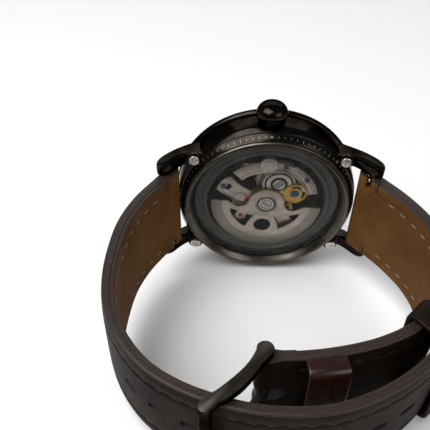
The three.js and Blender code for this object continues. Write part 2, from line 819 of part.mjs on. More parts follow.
function rotorBearing() {
  const race = revolved(
    [
      [0.55, -2.85],
      [1.9, -2.85],
      [1.9, -3.22],
      [2.35, -3.22],
      [2.35, -3.98],
      [0, -3.98],
      [0, -3.5],
      [0.55, -3.5],
    ],
    24,
  );
  return race.subtract(block(-2, 2, -0.12, 0.12, -4.2, -3.86));
}
piece("rotor_bearing", "steel", rotorBearing());

// ---------------------------------------------------------------- motion work and hands
const motionModule = (2 * MOTION_ARM) / (T.cannon + T.minute);
const hourModule = (2 * MOTION_ARM) / (T.minutePinion + T.hour);

function cannonPinion() {
  const made = union(
    disc({ x: 0, y: 0 }, 0.6, 0.55, 3.1, 14),
    plate(toothed(T.cannon, (motionModule * T.cannon) / 2, motionModule), 0.55, 0.86),
  );
  return made.subtract(disc({ x: 0, y: 0 }, 0.34, -1, 5, 12));
}
piece("cannon_pinion", "steel", cannonPinion());

// the minute wheel runs in a recess on the dial side of the mainplate
function minuteWheel() {
  const phase = meshPhase(T.cannon, 0, AXIS, MINUTE_WHEEL, T.minute);
  const rim = toothed(T.minute, (motionModule * T.minute) / 2, motionModule, phase);
  return union(
    plate(rim, 1.32, 1.44),
    plate(toothed(T.minutePinion, (hourModule * T.minutePinion) / 2, hourModule), 1.4, 1.75),
  );
}
piece("minute_wheel", "brass", minuteWheel(), MINUTE_WHEEL);

function hourWheel() {
  const phase = meshPhase(T.minutePinion, 0, MINUTE_WHEEL, AXIS, T.hour);
  const rim = toothed(T.hour, (hourModule * T.hour) / 2, hourModule, phase);
  const made = union(plate(rim, 1.52, 1.66), disc({ x: 0, y: 0 }, 1.0, 1.52, 2.5, 16));
  return made.subtract(disc({ x: 0, y: 0 }, 0.7, 0, 5, 14));
}
piece("hour_wheel", "brass", hourWheel());

// a skeleton hand: sword outline with a slot, its boss on the dial axis
function hand(length, width, boss, bore, z0, z1) {
  const shape = new THREE.Shape();
  shape.moveTo(-0.35, 0);
  shape.lineTo(-width, length * 0.62);
  shape.lineTo(0, length);
  shape.lineTo(width, length * 0.62);
  shape.lineTo(0.35, 0);
  shape.closePath();
  const slot = new THREE.Path();
  slot.moveTo(0, length * 0.3);
  slot.lineTo(width * 0.5, length * 0.62);
  slot.lineTo(0, length * 0.85);
  slot.lineTo(-width * 0.5, length * 0.62);
  slot.closePath();
  shape.holes.push(slot);
  const made = plate(shape, z0, z1).add(disc({ x: 0, y: 0 }, boss, z0, z1, 20));
  return made.subtract(disc({ x: 0, y: 0 }, bore, -9, 9, 14));
}
const HAND_DEGREES = { hour: -305, minute: -52, seconds: -212 }; // about ten past ten
const turnedTo = (made, degrees) => made.rotate([0, 0, degrees - 90]);
piece("hour_hand", "hands", turnedTo(hand(9.2, 0.75, 1.4, 1.02, 2.3, 2.45), HAND_DEGREES.hour));
piece("minute_hand", "hands", turnedTo(hand(13.2, 0.6, 1.1, 0.62, 2.72, 2.87), HAND_DEGREES.minute));

function secondsHand() {
  const shape = new THREE.Shape();
  shape.moveTo(-0.28, -3.6);
  shape.lineTo(0.28, -3.6);
  shape.lineTo(0.1, 14.2);
  shape.lineTo(-0.1, 14.2);
  shape.closePath();
  const made = plate(shape, 3.3, 3.42).add(disc({ x: 0, y: 0 }, 0.75, 3.28, 3.55, 16));
  return made.subtract(disc({ x: 0, y: 0 }, 0.22, 0, 3.52, 10));
}
piece("seconds_hand", "blued", turnedTo(secondsHand(), HAND_DEGREES.seconds));

// ---------------------------------------------------------------- strap
// Centre curves of the two halves in the YZ plane, from the spring bar outwards.
const LONG_ROUTE = [
  [-22.2, -4.7],
  [-24.9, -9.0],
  [-28.3, -14.6],
  [-30.9, -21.4],
  [-32.0, -29.0],
  [-32.1, -36.2],
  [-30.9, -43.0],
  [-28.1, -49.0],
  [-23.6, -54.6],
  [-18.2, -58.3],
  [-12.2, -60.8],
  [-5.8, -62.5],
  [1.0, -63.0],
  [8.0, -62.3],
  [15.0, -59.7],
  [21.2, -56.0],
  [26.3, -51.6],
  [30.4, -46.4],
  [33.2, -41.0],
  [35.0, -35.4],
];
const SHORT_ROUTE = [
  [22.2, -4.7],
  [25.4, -8.6],
  [29.3, -14.2],
  [32.4, -20.8],
  [33.6, -28.0],
  [32.2, -35.4],
  [28.7, -41.6],
  [23.8, -46.2],
  [17.6, -49.4],
  [10.8, -51.4],
  [4.0, -52.5],
  [-3.3, -52.9],
];

// curve through a route, with its length and a frame: along, and outwards from the wrist
function route(points, outwards) {
  const curve = new THREE.CatmullRomCurve3(
    points.map(([y, z]) => new THREE.Vector3(0, y, z)),
    false,
    "centripetal",
  );
  curve.arcLengthDivisions = 600;
  const length = curve.getLength();
  const at = (s) => {
    const t = THREE.MathUtils.clamp(s / length, 0, 1);
    const p = curve.getPointAt(t);
    const tangent = curve.getTangentAt(t);
    const out = new THREE.Vector2(tangent.z, -tangent.y).multiplyScalar(outwards);
    return { p: new THREE.Vector2(p.y, p.z), along: new THREE.Vector2(tangent.y, tangent.z), out };
  };
  return { length, at };
}
const longStrap = route(LONG_ROUTE, 1);
const shortStrap = route(SHORT_ROUTE, -1);

// half width of a strap at a distance s from its spring bar
function halfWidth(s) {
  return THREE.MathUtils.lerp(STRAP_HALF.lug, STRAP_HALF.end, THREE.MathUtils.smoothstep(s, 8, 62));
}

// A strip of leather between two offsets from the centre curve, with a section at each station.
// It is lofted, so that it can taper in width and thickness.
function strip(path, stations, innerOffset, outerOffset, width = halfWidth) {
  const positions = [];
  const index = [];
  for (const s of stations) {
    const { p, out } = path.at(s);
    const w = width(s);
    for (const [x, offset] of [
      [-w, innerOffset(s)],
      [w, innerOffset(s)],
      [w, outerOffset(s)],
      [-w, outerOffset(s)],
    ]) {
      positions.push(x, p.x + out.x * offset, p.y + out.y * offset);
    }
  }
  const end = 4 * (stations.length - 1);
  for (let first = 0; first < end; first += 4) {
    for (let k = 0; k < 4; k++) {
      const a = first + k;
      const b = first + ((k + 1) % 4);
      index.push(a, b, b + 4, a, b + 4, a + 4);
    }
  }
  index.push(0, 2, 1, 0, 3, 2, end, end + 1, end + 2, end, end + 2, end + 3);
  const made = new THREE.BufferGeometry();
  made.setAttribute("position", new THREE.Float32BufferAttribute(positions, 3));
  made.setIndex(index);
  return solid(made);
}
const evenly = (s0, s1, steps) =>
  Array.from({ length: steps + 1 }, (_, i) => s0 + ((s1 - s0) * i) / steps);

// thickness of the outer leather: padded at the lugs, thinner towards the end
function padding(s) {
  return THREE.MathUtils.lerp(OUTER_T.lug, OUTER_T.end, THREE.MathUtils.smoothstep(s, 4, 58));
}
const innerFace = (s) => -(padding(s) + LINING_T) / 2;
const seam = (s) => innerFace(s) + LINING_T;
const outerFace = (s) => (padding(s) + LINING_T) / 2;
const ROOT_R = 1.75; // leather folded round the spring bar
const FOLD_END = 3.6; // where the folded-over leather stops and the lining starts

const ROOT_START = 0.3;

// the fold round a spring bar, with its bore and the notch that the bar's knob slides in
function outerLeather(path, at, end, stations, width = halfWidth) {
  const body = strip(path, stations, (s) => seam(s) + SEAM_GAP, outerFace, width);
  const fold = strip(path, evenly(ROOT_START, FOLD_END, 3), innerFace, (s) => seam(s) + 0.2);
  const half = halfWidth(0);
  const root = rodX(ROOT_R, -half, half, at.y, at.z, 20);
  const notch = block(8.0, 12, at.y - 0.75, at.y + 0.75, at.z - 3.2, at.z);
  return union(body, fold, root)
    .subtract(rodX(BAR_R + 0.1, -20, 20, at.y, at.z, 16))
    .subtract(end > 0 ? notch : notch.mirror([1, 0, 0]));
}

// adjustment holes, punched square to the strap
const HOLE = { first: 51.15, pitch: 6.5, count: 9, halfLength: 1.6, halfWidth: 0.95 };
function punch(made) {
  let cut = made;
  for (let i = 0; i < HOLE.count; i++) {
    const { p, along, out } = longStrap.at(HOLE.first + HOLE.pitch * i);
    const shape = new THREE.Shape();
    const straight = HOLE.halfLength - HOLE.halfWidth;
    shape.absarc(0, straight, HOLE.halfWidth, 0, Math.PI, false);
    shape.absarc(0, -straight, HOLE.halfWidth, Math.PI, 2 * Math.PI, false);
    const tool = new THREE.ExtrudeGeometry(shape, { depth: 8, bevelEnabled: false, curveSegments: 2 });
    tool.translate(0, 0, -4);
    // the tool's Y follows the strap and its Z goes through it
    const basis = new THREE.Matrix4().makeBasis(
      new THREE.Vector3(1, 0, 0),
      new THREE.Vector3(0, along.x, along.y),
      new THREE.Vector3(0, out.x, out.y),
    );
    basis.setPosition(0, p.x, p.y);
    cut = cut.subtract(solid(tool.applyMatrix4(basis)));
  }
  return cut;
}

// the long half narrows to a rounded tip
const LONG_END = longStrap.length - 0.5;
const TIP_LENGTH = 9;
function longWidth(s) {
  const into = Math.max(0, s - (LONG_END - TIP_LENGTH)) / (TIP_LENGTH + 0.2);
  return halfWidth(s) * Math.sqrt(1 - into ** 2);
}

const lugBar = (end) => ({ y: end * LUG_BAR.y, z: LUG_BAR.z });
const longLayer = [
  ...evenly(FOLD_END + 0.1, LONG_END - TIP_LENGTH, 32),
  ...evenly(LONG_END - TIP_LENGTH, LONG_END, 6).slice(1),
];
const longLeather = outerLeather(longStrap, lugBar(-1), -1, [ROOT_START, ...longLayer], longWidth);
piece("strap_long_leather", "leather", punch(longLeather));
piece("strap_long_lining", "lining", punch(strip(longStrap, longLayer, innerFace, seam, longWidth)));

const BUCKLE_PIN = { y: SHORT_ROUTE.at(-1)[0], z: SHORT_ROUTE.at(-1)[1] };
const SHORT_END = shortStrap.length - 0.3;
const LINING_STOP = 5.2; // the leather folded round the buckle's bar ends here
const shortLayer = evenly(FOLD_END + 0.1, SHORT_END - LINING_STOP, 24);
function shortLeather() {
  const half = halfWidth(SHORT_END);
  const { y, z } = BUCKLE_PIN;
  const stations = [ROOT_START, ...shortLayer, SHORT_END - 2.5, SHORT_END];
  return outerLeather(shortStrap, lugBar(1), 1, stations)
    .add(rodX(1.6, -half, half, y, z, 20))
    .subtract(rodX(BAR_R + 0.1, -20, 20, y, z, 16))
    .subtract(block(-1.75, 1.75, y - 3, y + 4.2, z - 4, z + 4)); // room for the tongue
}
piece("strap_short_leather", "leather", shortLeather());
piece("strap_short_lining", "lining", strip(shortStrap, shortLayer, innerFace, seam));

// The fixed keeper is an arch of leather over the strap's face, sewn down at both edges.
const FIXED_KEEPER = { s0: SHORT_END - 13.6, s1: SHORT_END - 6.6, half: 9.9, wall: 0.9, room: 2.3 };
function fixedKeeper() {
  const { s0, s1, half, wall, room } = FIXED_KEEPER;
  const stations = evenly(s0, s1, 4);
  const open = [s0 - 0.6, ...stations, s1 + 0.6];
  const above = (height) => (s) => outerFace(s) + height;
  const shell = strip(shortStrap, stations, above(SEAM_GAP), above(room + wall), () => half);
  const passage = strip(shortStrap, open, above(-1), above(room), () => half - wall);
  return shell.subtract(passage);
}
piece("fixed_keeper", "keeperLeather", fixedKeeper());

// The free keeper slides round an arc: its faces are circles about one centre,
// and there the two strap halves pass through it side by side.
const SLIDE_ARC = { y: 12.2, z: -30.6, degrees: -45, halfSpan: 8.8 };
const KEEPER_R = { inner: 18.0, outer: 26.6, half: 10.7, wall: 1.0 };
function arcStrip(r0, r1, halfW, from, to) {
  const shape = new THREE.Shape(sectorPoints(r0, r1, from, to, 5));
  return extrudedAlongX(shape, -halfW, halfW).translate([0, SLIDE_ARC.y, SLIDE_ARC.z]);
}
function freeKeeper() {
  const a = SLIDE_ARC.degrees - SLIDE_ARC.halfSpan;
  const b = SLIDE_ARC.degrees + SLIDE_ARC.halfSpan;
  const { inner, outer, half, wall } = KEEPER_R;
  const shell = arcStrip(inner - wall, outer + wall, half + wall, a, b);
  return shell.subtract(arcStrip(inner, outer, half, a - 4, b + 4));
}
piece("free_keeper", "leather", freeKeeper());

// ---------------------------------------------------------------- spring bars
// telescopic bar; the tip at the release end is the knob's own, and slides inwards with it
function springBar() {
  const sleeve = rodX(BAR_R, -10.9, 8.1, 0, 0, 12);
  const tip = rodX(0.4, -12.3, -10.8, 0, 0, 10);
  return union(sleeve, tip).subtract(rodX(0.48, 5.2, 10, 0, 0, 10));
}
function releaseKnob() {
  const pin = rodX(0.38, 7.2, 12.3, 0, 0, 10);
  const collar = rodX(BAR_R, 9.75, 10.75, 0, 0, 12);
  const knob = disc({ x: 10.25, y: 0 }, 0.42, -2.35, -0.5, 10);
  return union(pin, collar, knob);
}
for (const [end, label] of [
  [1, "12"],
  [-1, "6"],
]) {
  // the two release knobs sit at opposite ends of their bars
  const flip = end > 0 ? 0 : 180;
  const at = { x: 0, y: end * LUG_BAR.y, z: LUG_BAR.z };
  piece(`spring_bar_${label}`, "steel", springBar().rotate([0, 0, flip]), at);
  piece(`release_knob_${label}`, "steel", releaseKnob().rotate([0, 0, flip]), at);
}

// ---------------------------------------------------------------- buckle
const CROSSBAR = { y: -13.2, z: -63.5 };
const FRAME_HALF = { inner: 10.6, outer: 12.4 };
const BUCKLE_DIR = new THREE.Vector2(CROSSBAR.y - BUCKLE_PIN.y, CROSSBAR.z - BUCKLE_PIN.z);
const BUCKLE_LENGTH = BUCKLE_DIR.length();
// The buckle is drawn in its own plane: p along the arms from the pin, q outwards.
const buckle = new THREE.Group();
buckle.position.set(0, BUCKLE_PIN.y, BUCKLE_PIN.z);
buckle.rotation.x = Math.atan2(BUCKLE_DIR.y, BUCKLE_DIR.x);
watch.add(buckle);

// Side view of an arm, from the pin to the crossbar. It bows away from the wrist.
const ARM_BELOW = [
  [1.3, -0.95],
  [2.6, -0.5],
  [5.2, -0.2],
  [8.2, -0.2],
  [11.4, -0.6],
];
const ARM_ABOVE = [
  [12.4, 1.2],
  [10.0, 1.75],
  [7.9, 2.15],
  [5.4, 1.95],
  [2.6, 1.6],
];
function arm(x0, x1) {
  const shape = new THREE.Shape();
  shape.absarc(0, 0, 1.55, Math.PI * 0.55, Math.PI * 1.6, false);
  for (const [p, q] of ARM_BELOW) shape.lineTo(p, q);
  shape.absarc(BUCKLE_LENGTH, 0, 1.2, -Math.PI / 2, Math.PI / 2, false);
  for (const [p, q] of ARM_ABOVE) shape.lineTo(p, q);
  shape.closePath();
  return extrudedAlongX(shape, x0, x1);
}
function buckleFrame() {
  const { inner, outer } = FRAME_HALF;
  const bar = rodX(1.2, -outer, outer, BUCKLE_LENGTH, 0, 20);
  const made = union(arm(inner, outer), arm(-outer, -inner), bar);
  return made.subtract(rodX(0.5, -11.8, 11.8, 0, 0, 12));
}
piece("buckle_frame", "brushedDark", buckleFrame(), null, buckle);

// a prong on an eye; it goes out through a hole in the long half and rests on the crossbar
function buckleTongue() {
  const eye = rodX(1.35, -1.45, 1.45, 0, 0, 16);
  const L = BUCKLE_LENGTH;
  const outline = [
    [0, 0.1],
    [L * 0.55, 1.0],
    [L + 0.2, 1.3],
    [L + 1.0, 1.15],
    [L + 1.05, 1.65],
    [L + 0.2, 2.2],
    [L * 0.55, 2.0],
    [0, 1.3],
  ];
  const shape = new THREE.Shape(outline.map(([p, q]) => new THREE.Vector2(p, q)));
  return union(eye, extrudedAlongX(shape, -0.65, 0.65)).subtract(rodX(BAR_R + 0.06, -3, 3, 0, 0, 16));
}
piece("buckle_tongue", "brushedDark", buckleTongue(), null, buckle);
function buckleBar() {
  return union(rodX(BAR_R, -10.4, 10.4, 0, 0, 12), rodX(0.42, -11.7, 11.7, 0, 0, 10));
}
piece("buckle_spring_bar", "steel", buckleBar(), null, buckle);

// ---------------------------------------------------------------- at rest on its side
const lean = new THREE.Matrix4().makeBasis(
  new THREE.Vector3(0, -Math.sin(LEAN), Math.cos(LEAN)),
  new THREE.Vector3(1, 0, 0),
  new THREE.Vector3(0, Math.cos(LEAN), Math.sin(LEAN)),
);
watch.quaternion.setFromRotationMatrix(lean);
watch.position.set(REST_SHIFT.x, REST_SHIFT.y, REST_SHIFT.z);

const assembly = new THREE.Group();
assembly.add(watch);

export default assembly;
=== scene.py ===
"""Looks of the skeleton wristwatch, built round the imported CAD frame.

Meshes are drawn in millimetres in the watchmaker's frame (+X to 3 o'clock, +Y to 12 o'clock,
+Z out of the dial) and placed by a matrix read from the record's joints, so they lie in metres
in the row frame. Texture coordinates are therefore millimetres from each piece's own centre.
"""
import bisect
import json
import math

import bmesh
import bpy
from mathutils import Matrix, Vector


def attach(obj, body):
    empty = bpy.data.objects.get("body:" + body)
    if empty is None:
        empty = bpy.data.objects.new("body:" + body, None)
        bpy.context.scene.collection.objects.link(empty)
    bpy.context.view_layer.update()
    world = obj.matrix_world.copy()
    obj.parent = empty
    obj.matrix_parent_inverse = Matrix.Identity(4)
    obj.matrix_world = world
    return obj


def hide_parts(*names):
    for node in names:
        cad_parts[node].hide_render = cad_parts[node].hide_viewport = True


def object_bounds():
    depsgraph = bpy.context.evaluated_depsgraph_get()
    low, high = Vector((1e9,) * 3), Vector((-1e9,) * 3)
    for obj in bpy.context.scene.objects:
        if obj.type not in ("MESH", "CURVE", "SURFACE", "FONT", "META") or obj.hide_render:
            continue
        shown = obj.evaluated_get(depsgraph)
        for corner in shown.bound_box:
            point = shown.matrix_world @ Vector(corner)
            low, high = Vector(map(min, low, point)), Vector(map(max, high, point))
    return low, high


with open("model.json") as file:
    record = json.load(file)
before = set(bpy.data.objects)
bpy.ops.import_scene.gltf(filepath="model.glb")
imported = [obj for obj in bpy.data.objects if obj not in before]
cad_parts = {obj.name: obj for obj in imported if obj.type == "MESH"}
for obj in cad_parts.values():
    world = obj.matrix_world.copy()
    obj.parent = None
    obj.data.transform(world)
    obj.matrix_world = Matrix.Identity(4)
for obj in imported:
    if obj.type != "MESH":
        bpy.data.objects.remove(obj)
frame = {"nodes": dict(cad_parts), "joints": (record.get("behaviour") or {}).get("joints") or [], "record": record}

CAD_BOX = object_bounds()
RECORD = frame["record"]
JOINTS = {joint["name"]: joint for joint in frame["joints"]}
BODY_OF = {node: body for body, nodes in RECORD["behaviour"]["bodies"].items() for node in nodes}
SLOT_OF = {part["node"]: part["material_slot"] for part in RECORD["subparts"]}
MM = 0.001
TAU = 2 * math.pi

# ---------------------------------------------------------------- the watchmaker's frame
AXIS_X = Vector(JOINTS["crown_pull"]["axis"])
AXIS_Z = Vector(JOINTS["rotor_spin"]["axis"])
AXIS_Y = AXIS_Z.cross(AXIS_X)
ORIGIN = Vector(JOINTS["rotor_spin"]["pos_m"])
WATCH = Matrix.Translation(ORIGIN) @ Matrix((AXIS_X, AXIS_Y, AXIS_Z)).transposed().to_4x4()
WATCH = WATCH @ Matrix.Scale(MM, 4)
TO_WATCH = WATCH.inverted()


def joint_at(name):
    """The place of a hinge in the watchmaker's frame, as (x, y)."""
    p = TO_WATCH @ Vector(JOINTS[name]["pos_m"])
    return p.x, p.y


def polar(r, degrees, centre=(0, 0)):
    a = math.radians(degrees)
    return centre[0] + r * math.cos(a), centre[1] + r * math.sin(a)


def arc(r, start, stop, centre=(0, 0), step=3.0):
    """Points on an arc, ends included."""
    count = max(1, math.ceil(abs(stop - start) / step))
    return [polar(r, start + (stop - start) * i / count, centre) for i in range(count + 1)]


def circle(r, centre=(0, 0), step=3.0):
    return arc(r, 0, 360, centre, step)[:-1]


def both_sides(half):
    """Points and their mirror image in the x axis, there and back."""
    return half + [(x, -y) for x, y in half[::-1] if y]


def sector(inner, outer, start, stop, centre=(0, 0)):
    return arc(outer, start, stop, centre) + arc(inner, stop, start, centre)


def bezier(points, steps=10):
    """Quadratic curves through start, (control, end), (control, end) ... as one list of points."""
    made = [points[0]]
    for control, end in zip(points[1::2], points[2::2]):
        x0, y0 = made[-1]
        for i in range(1, steps + 1):
            t = i / steps
            a, b, c = (1 - t) ** 2, 2 * t * (1 - t), t * t
            made.append((a * x0 + b * control[0] + c * end[0], a * y0 + b * control[1] + c * end[1]))
    return made


def smoothstep(x, a, b):
    t = min(1.0, max(0.0, (x - a) / (b - a)))
    return t * t * (3 - 2 * t)


# ---------------------------------------------------------------- materials
class Nodes:
    """A small helper to write node trees in few lines."""

    def __init__(self, name):
        self.material = bpy.data.materials.new(name)
        self.material.use_nodes = True
        self.tree = self.material.node_tree
        self.shader = self.tree.nodes["Principled BSDF"]
        self.coords = self.add("ShaderNodeTexCoord").outputs["Object"]

    def add(self, kind, **settings):
        node = self.tree.nodes.new(kind)
        for key, value in settings.items():
            setattr(node, key, value)
        return node

    def wire(self, source, target):
        if isinstance(source, (int, float, tuple)):
            target.default_value = source
        else:
            self.tree.links.new(source, target)

    def math(self, operation, a, b=0.0, c=0.0):
        node = self.add("ShaderNodeMath", operation=operation)
        for value, socket in zip((a, b, c), node.inputs):
            self.wire(value, socket)
        return node.outputs[0]

    def noise(self, scale, detail=3.0, coords=None, roughness=0.5, distortion=0.0):
        node = self.add("ShaderNodeTexNoise")
        self.wire(coords or self.coords, node.inputs["Vector"])
        for key, value in (("Scale", scale), ("Detail", detail), ("Roughness", roughness),
                ("Distortion", distortion)):
            node.inputs[key].default_value = value
        return node.outputs["Fac"]

    def cells(self, scale, feature="F1", coords=None):
        node = self.add("ShaderNodeTexVoronoi", feature=feature)
        self.wire(coords or self.coords, node.inputs["Vector"])
        node.inputs["Scale"].default_value = scale
        return node.outputs["Distance"]

    def stretched(self, x, y, z):
        node = self.add("ShaderNodeMapping")
        self.wire(self.coords, node.inputs["Vector"])
        node.inputs["Scale"].default_value = (x, y, z)
        return node.outputs[0]

    def polar_coords(self, around, across, along=1.0):
        """Coordinates that follow a turned face: the angle, the radius and the height."""
        split = self.add("ShaderNodeSeparateXYZ")
        self.wire(self.coords, split.inputs[0])
        x, y, z = split.outputs
        radius = self.math("SQRT", self.math("ADD", self.math("MULTIPLY", x, x),
            self.math("MULTIPLY", y, y)))
        made = self.add("ShaderNodeCombineXYZ")
        self.wire(self.math("MULTIPLY", self.math("ARCTAN2", y, x), around), made.inputs[0])
        self.wire(self.math("MULTIPLY", radius, across), made.inputs[1])
        self.wire(self.math("MULTIPLY", z, along), made.inputs[2])
        return made.outputs[0]

    def range(self, value, low, high, from_low=0.3, from_high=0.7):
        node = self.add("ShaderNodeMapRange")
        self.wire(value, node.inputs["Value"])
        for key, number in (("From Min", from_low), ("From Max", from_high), ("To Min", low),
                ("To Max", high)):
            node.inputs[key].default_value = number
        return node.outputs[0]

    def ramp(self, value, stops):
        node = self.add("ShaderNodeValToRGB")
        self.wire(value, node.inputs[0])
        colours = node.color_ramp.elements
        while len(colours) < len(stops):
            colours.new(0.5)
        for element, (position, colour) in zip(colours, stops):
            element.position = position
            element.color = (*colour, 1)
        return node.outputs[0]

    def tones(self, value, dark, light):
        return self.ramp(value, [(0.3, dark), (0.7, light)])

    def mix(self, factor, a, b):
        node = self.add("ShaderNodeMix", data_type="RGBA")
        self.wire(factor, node.inputs["Factor"])
        for colour, socket in ((a, node.inputs["A"]), (b, node.inputs["B"])):
            self.wire((*colour, 1) if isinstance(colour, tuple) else colour, socket)
        return node.outputs["Result"]

    def bump(self, height, depth, strength=1.0, under=None):
        """A bump of that depth in millimetres."""
        node = self.add("ShaderNodeBump")
        node.inputs["Strength"].default_value = strength
        node.inputs["Distance"].default_value = depth * MM
        self.wire(height, node.inputs["Height"])
        if under is not None:
            self.wire(under, node.inputs["Normal"])
        return node.outputs[0]

    def finish(self, color=None, roughness=None, normal=None, **fixed):
        for value, key in ((color, "Base Color"), (roughness, "Roughness"), (normal, "Normal")):
            if value is not None:
                self.wire((*value, 1) if isinstance(value, tuple) else value, self.shader.inputs[key])
        for key, value in fixed.items():
            self.shader.inputs[key.replace("_", " ")].default_value = value
        return self.material


def polished(name, dark, light, roughness=0.14, **fixed):
    """Polished metal: slight cloudiness, hairline scratches and smudges."""
    n = Nodes(name)
    cloud = n.noise(0.35, 4)
    scratch = n.noise(3.0, 2, n.stretched(1, 9, 1))
    return n.finish(n.tones(cloud, dark, light), n.range(n.math("ADD", cloud,
        n.math("MULTIPLY", scratch, 0.35)), roughness * 0.6, roughness * 1.5, 0.4, 1.0),
        n.bump(scratch, 0.004, 0.5), Metallic=1.0, **fixed)


def turned(name, dark, light, roughness=0.3, groove=0.006, rings=14.0):
    """Metal finished on a lathe: fine rings round the piece's own axis."""
    n = Nodes(name)
    rings_noise = n.noise(1.0, 3, n.polar_coords(0.5, rings))
    cloud = n.noise(0.5, 3)
    return n.finish(n.mix(n.range(rings_noise, 0.0, 0.6), n.tones(cloud, dark, light),
        dark), n.range(rings_noise, roughness * 0.8, roughness * 1.25),
        n.bump(rings_noise, groove, 0.6), Metallic=1.0)


def brushed(name, dark, light, roughness=0.34, along=(60, 1.5, 60), depth=0.008):
    """Metal brushed in one direction."""
    n = Nodes(name)
    grain = n.noise(1.0, 3, n.stretched(*along))
    cloud = n.noise(0.3, 3)
    return n.finish(n.mix(n.range(grain, 0.0, 0.7), n.tones(cloud, dark, light), dark),
        n.range(grain, roughness * 0.8, roughness * 1.25), n.bump(grain, depth, 0.6), Metallic=1.0)


def perlage(name, dark, light):
    """Overlapping spots of circular graining, as on a mainplate."""
    n = Nodes(name)
    spots = n.cells(0.65)
    rings = n.math("SINE", n.math("MULTIPLY", spots, 24.0))
    return n.finish(n.mix(n.range(spots, 0.0, 0.8, 0.0, 0.8), light, dark),
        n.range(rings, 0.24, 0.42, -1.0, 1.0), n.bump(rings, 0.008, 0.6), Metallic=1.0)


def leather(name, dark, light, roughness, grain=1.6, depth=0.05, coat=0.0, gloss=0.15):
    """Leather: pebbled grain, pores and soft colour change; lighter where the creases rise and darker in the
    pores.
    """
    n = Nodes(name)
    pebbles = n.cells(grain * 2.2, "SMOOTH_F1")
    creases = n.noise(grain * 0.9, 6, roughness=0.65, distortion=0.6)
    patches = n.noise(0.12, 3)
    pores = n.cells(grain * 6.0)
    tone = n.ramp(n.math("ADD", n.math("MULTIPLY", patches, 0.7), n.math("MULTIPLY", creases, 0.3)),
        [(0.35, dark), (0.68, light)])
    height = n.math("ADD", n.math("MULTIPLY", pebbles, 0.8), n.math("MULTIPLY", creases, 0.9))
    return n.finish(n.mix(n.range(pores, 0.35, 0.0, 0.0, 0.25), tone, dark), n.range(creases, roughness
        * 0.82, roughness * 1.25), n.bump(n.math("ADD", height, n.math("MULTIPLY", pores, 0.25)), depth,
        0.55), Coat_Weight=coat, Coat_Roughness=0.2, Specular_IOR_Level=gloss)


def plain(name, dark, light, roughness, scale=1.5, depth=0.01, **fixed):
    """Painted, moulded or waxed surfaces with a faint mottle."""
    n = Nodes(name)
    mottle = n.noise(scale, 5)
    return n.finish(n.tones(mottle, dark, light), n.range(mottle, roughness * 0.8,
        roughness * 1.2), n.bump(mottle, depth, 0.5), **fixed)


def clear_glass(name, tint, alpha):
    """A thin pane: nearly all see-through, with its polish kept. Faint dust shows in the roughness."""
    n = Nodes(name)
    dust = n.noise(0.8, 5)
    grazing = n.add("ShaderNodeLayerWeight")
    grazing.inputs["Blend"].default_value = 0.35
    see = n.math("ADD", alpha, n.math("MULTIPLY", grazing.outputs["Fresnel"], 0.3))
    n.wire(see, n.shader.inputs["Alpha"])
    return n.finish(n.tones(dust, tint, tuple(c * 0.9 for c in tint)),
        n.range(dust, 0.03, 0.09), Metallic=0.0, Specular_IOR_Level=0.4)


DARK_STEEL = polished("dark_steel_polished", (0.010, 0.0088, 0.0080), (0.024, 0.0205, 0.0182), 0.11,
    Specular_Tint=(0.42, 0.41, 0.40, 1))
DARK_BRUSHED = brushed("dark_steel_brushed", (0.028, 0.0245, 0.021), (0.078, 0.066, 0.055), 0.36)
DARK_TURNED = turned("dark_steel_turned", (0.014, 0.012, 0.0105), (0.032, 0.0275, 0.0235), 0.16, 0.004)
# Painted shade: the mainplate's back is dark so that the openings behind the bridges look dark.
PLATE_SHADE = turned("plate_painted_shade", (0.016, 0.015, 0.014), (0.035, 0.032, 0.029), 0.4, 0.01, 9.0)
PERLAGE = perlage("mainplate_front", (0.11, 0.104, 0.096), (0.24, 0.228, 0.212))
RIM_STEEL = turned("rim_steel", (0.075, 0.067, 0.057), (0.125, 0.112, 0.095), 0.26)
MARK_STEEL = polished("mark_pale", (0.17, 0.153, 0.134), (0.25, 0.225, 0.20), 0.4)
STEEL = polished("bright_steel", (0.46, 0.43, 0.40), (0.68, 0.64, 0.60), 0.24)
STEEL_TURNED = turned("turned_steel", (0.50, 0.47, 0.44), (0.72, 0.68, 0.64), 0.3)
NICKEL = turned("satin_nickel", (0.58, 0.51, 0.435), (0.84, 0.74, 0.63), 0.42, 0.01, 9.0)
ROTOR_RIM = turned("rotor_rim_nickel", (0.31, 0.28, 0.24), (0.47, 0.425, 0.365), 0.4, 0.01, 9.0)
NICKEL_BRUSHED = brushed("brushed_nickel", (0.56, 0.495, 0.42), (0.84, 0.74, 0.625), 0.38, (40, 3, 40))
GROOVE = plain("groove_shadow", (0.020, 0.018, 0.017), (0.034, 0.031, 0.029), 0.5, 4.0, Metallic=0.6)
GILT = turned("gilt_brass", (0.56, 0.32, 0.06), (0.86, 0.55, 0.14), 0.26)
BLUED = polished("blued_steel", (0.035, 0.075, 0.13), (0.08, 0.16, 0.26), 0.25)
HAND_STEEL = brushed("hand_steel", (0.55, 0.53, 0.50), (0.78, 0.76, 0.72), 0.2)
HOLDER = turned("holder_satin", (0.100, 0.094, 0.085), (0.155, 0.146, 0.131), 0.4, 0.012, 3.0)
DIAL = plain("dial_black", (0.012, 0.011, 0.010), (0.03, 0.028, 0.026), 0.5, 3.0)
LUME = plain("pale_inlay", (0.62, 0.60, 0.52), (0.74, 0.72, 0.63), 0.6, 6.0)
JEWEL = plain("jewel_red", (0.28, 0.01, 0.04), (0.45, 0.02, 0.07), 0.12, 2.0, Coat_Weight=0.6)
GLASS = clear_glass("mineral_glass", (0.03, 0.032, 0.03), 0.04)
LEATHER = leather("strap_leather", (0.0068, 0.0043, 0.0032), (0.0185, 0.0124, 0.0094), 0.48, 1.5, 0.03,
    0.0, 0.03)
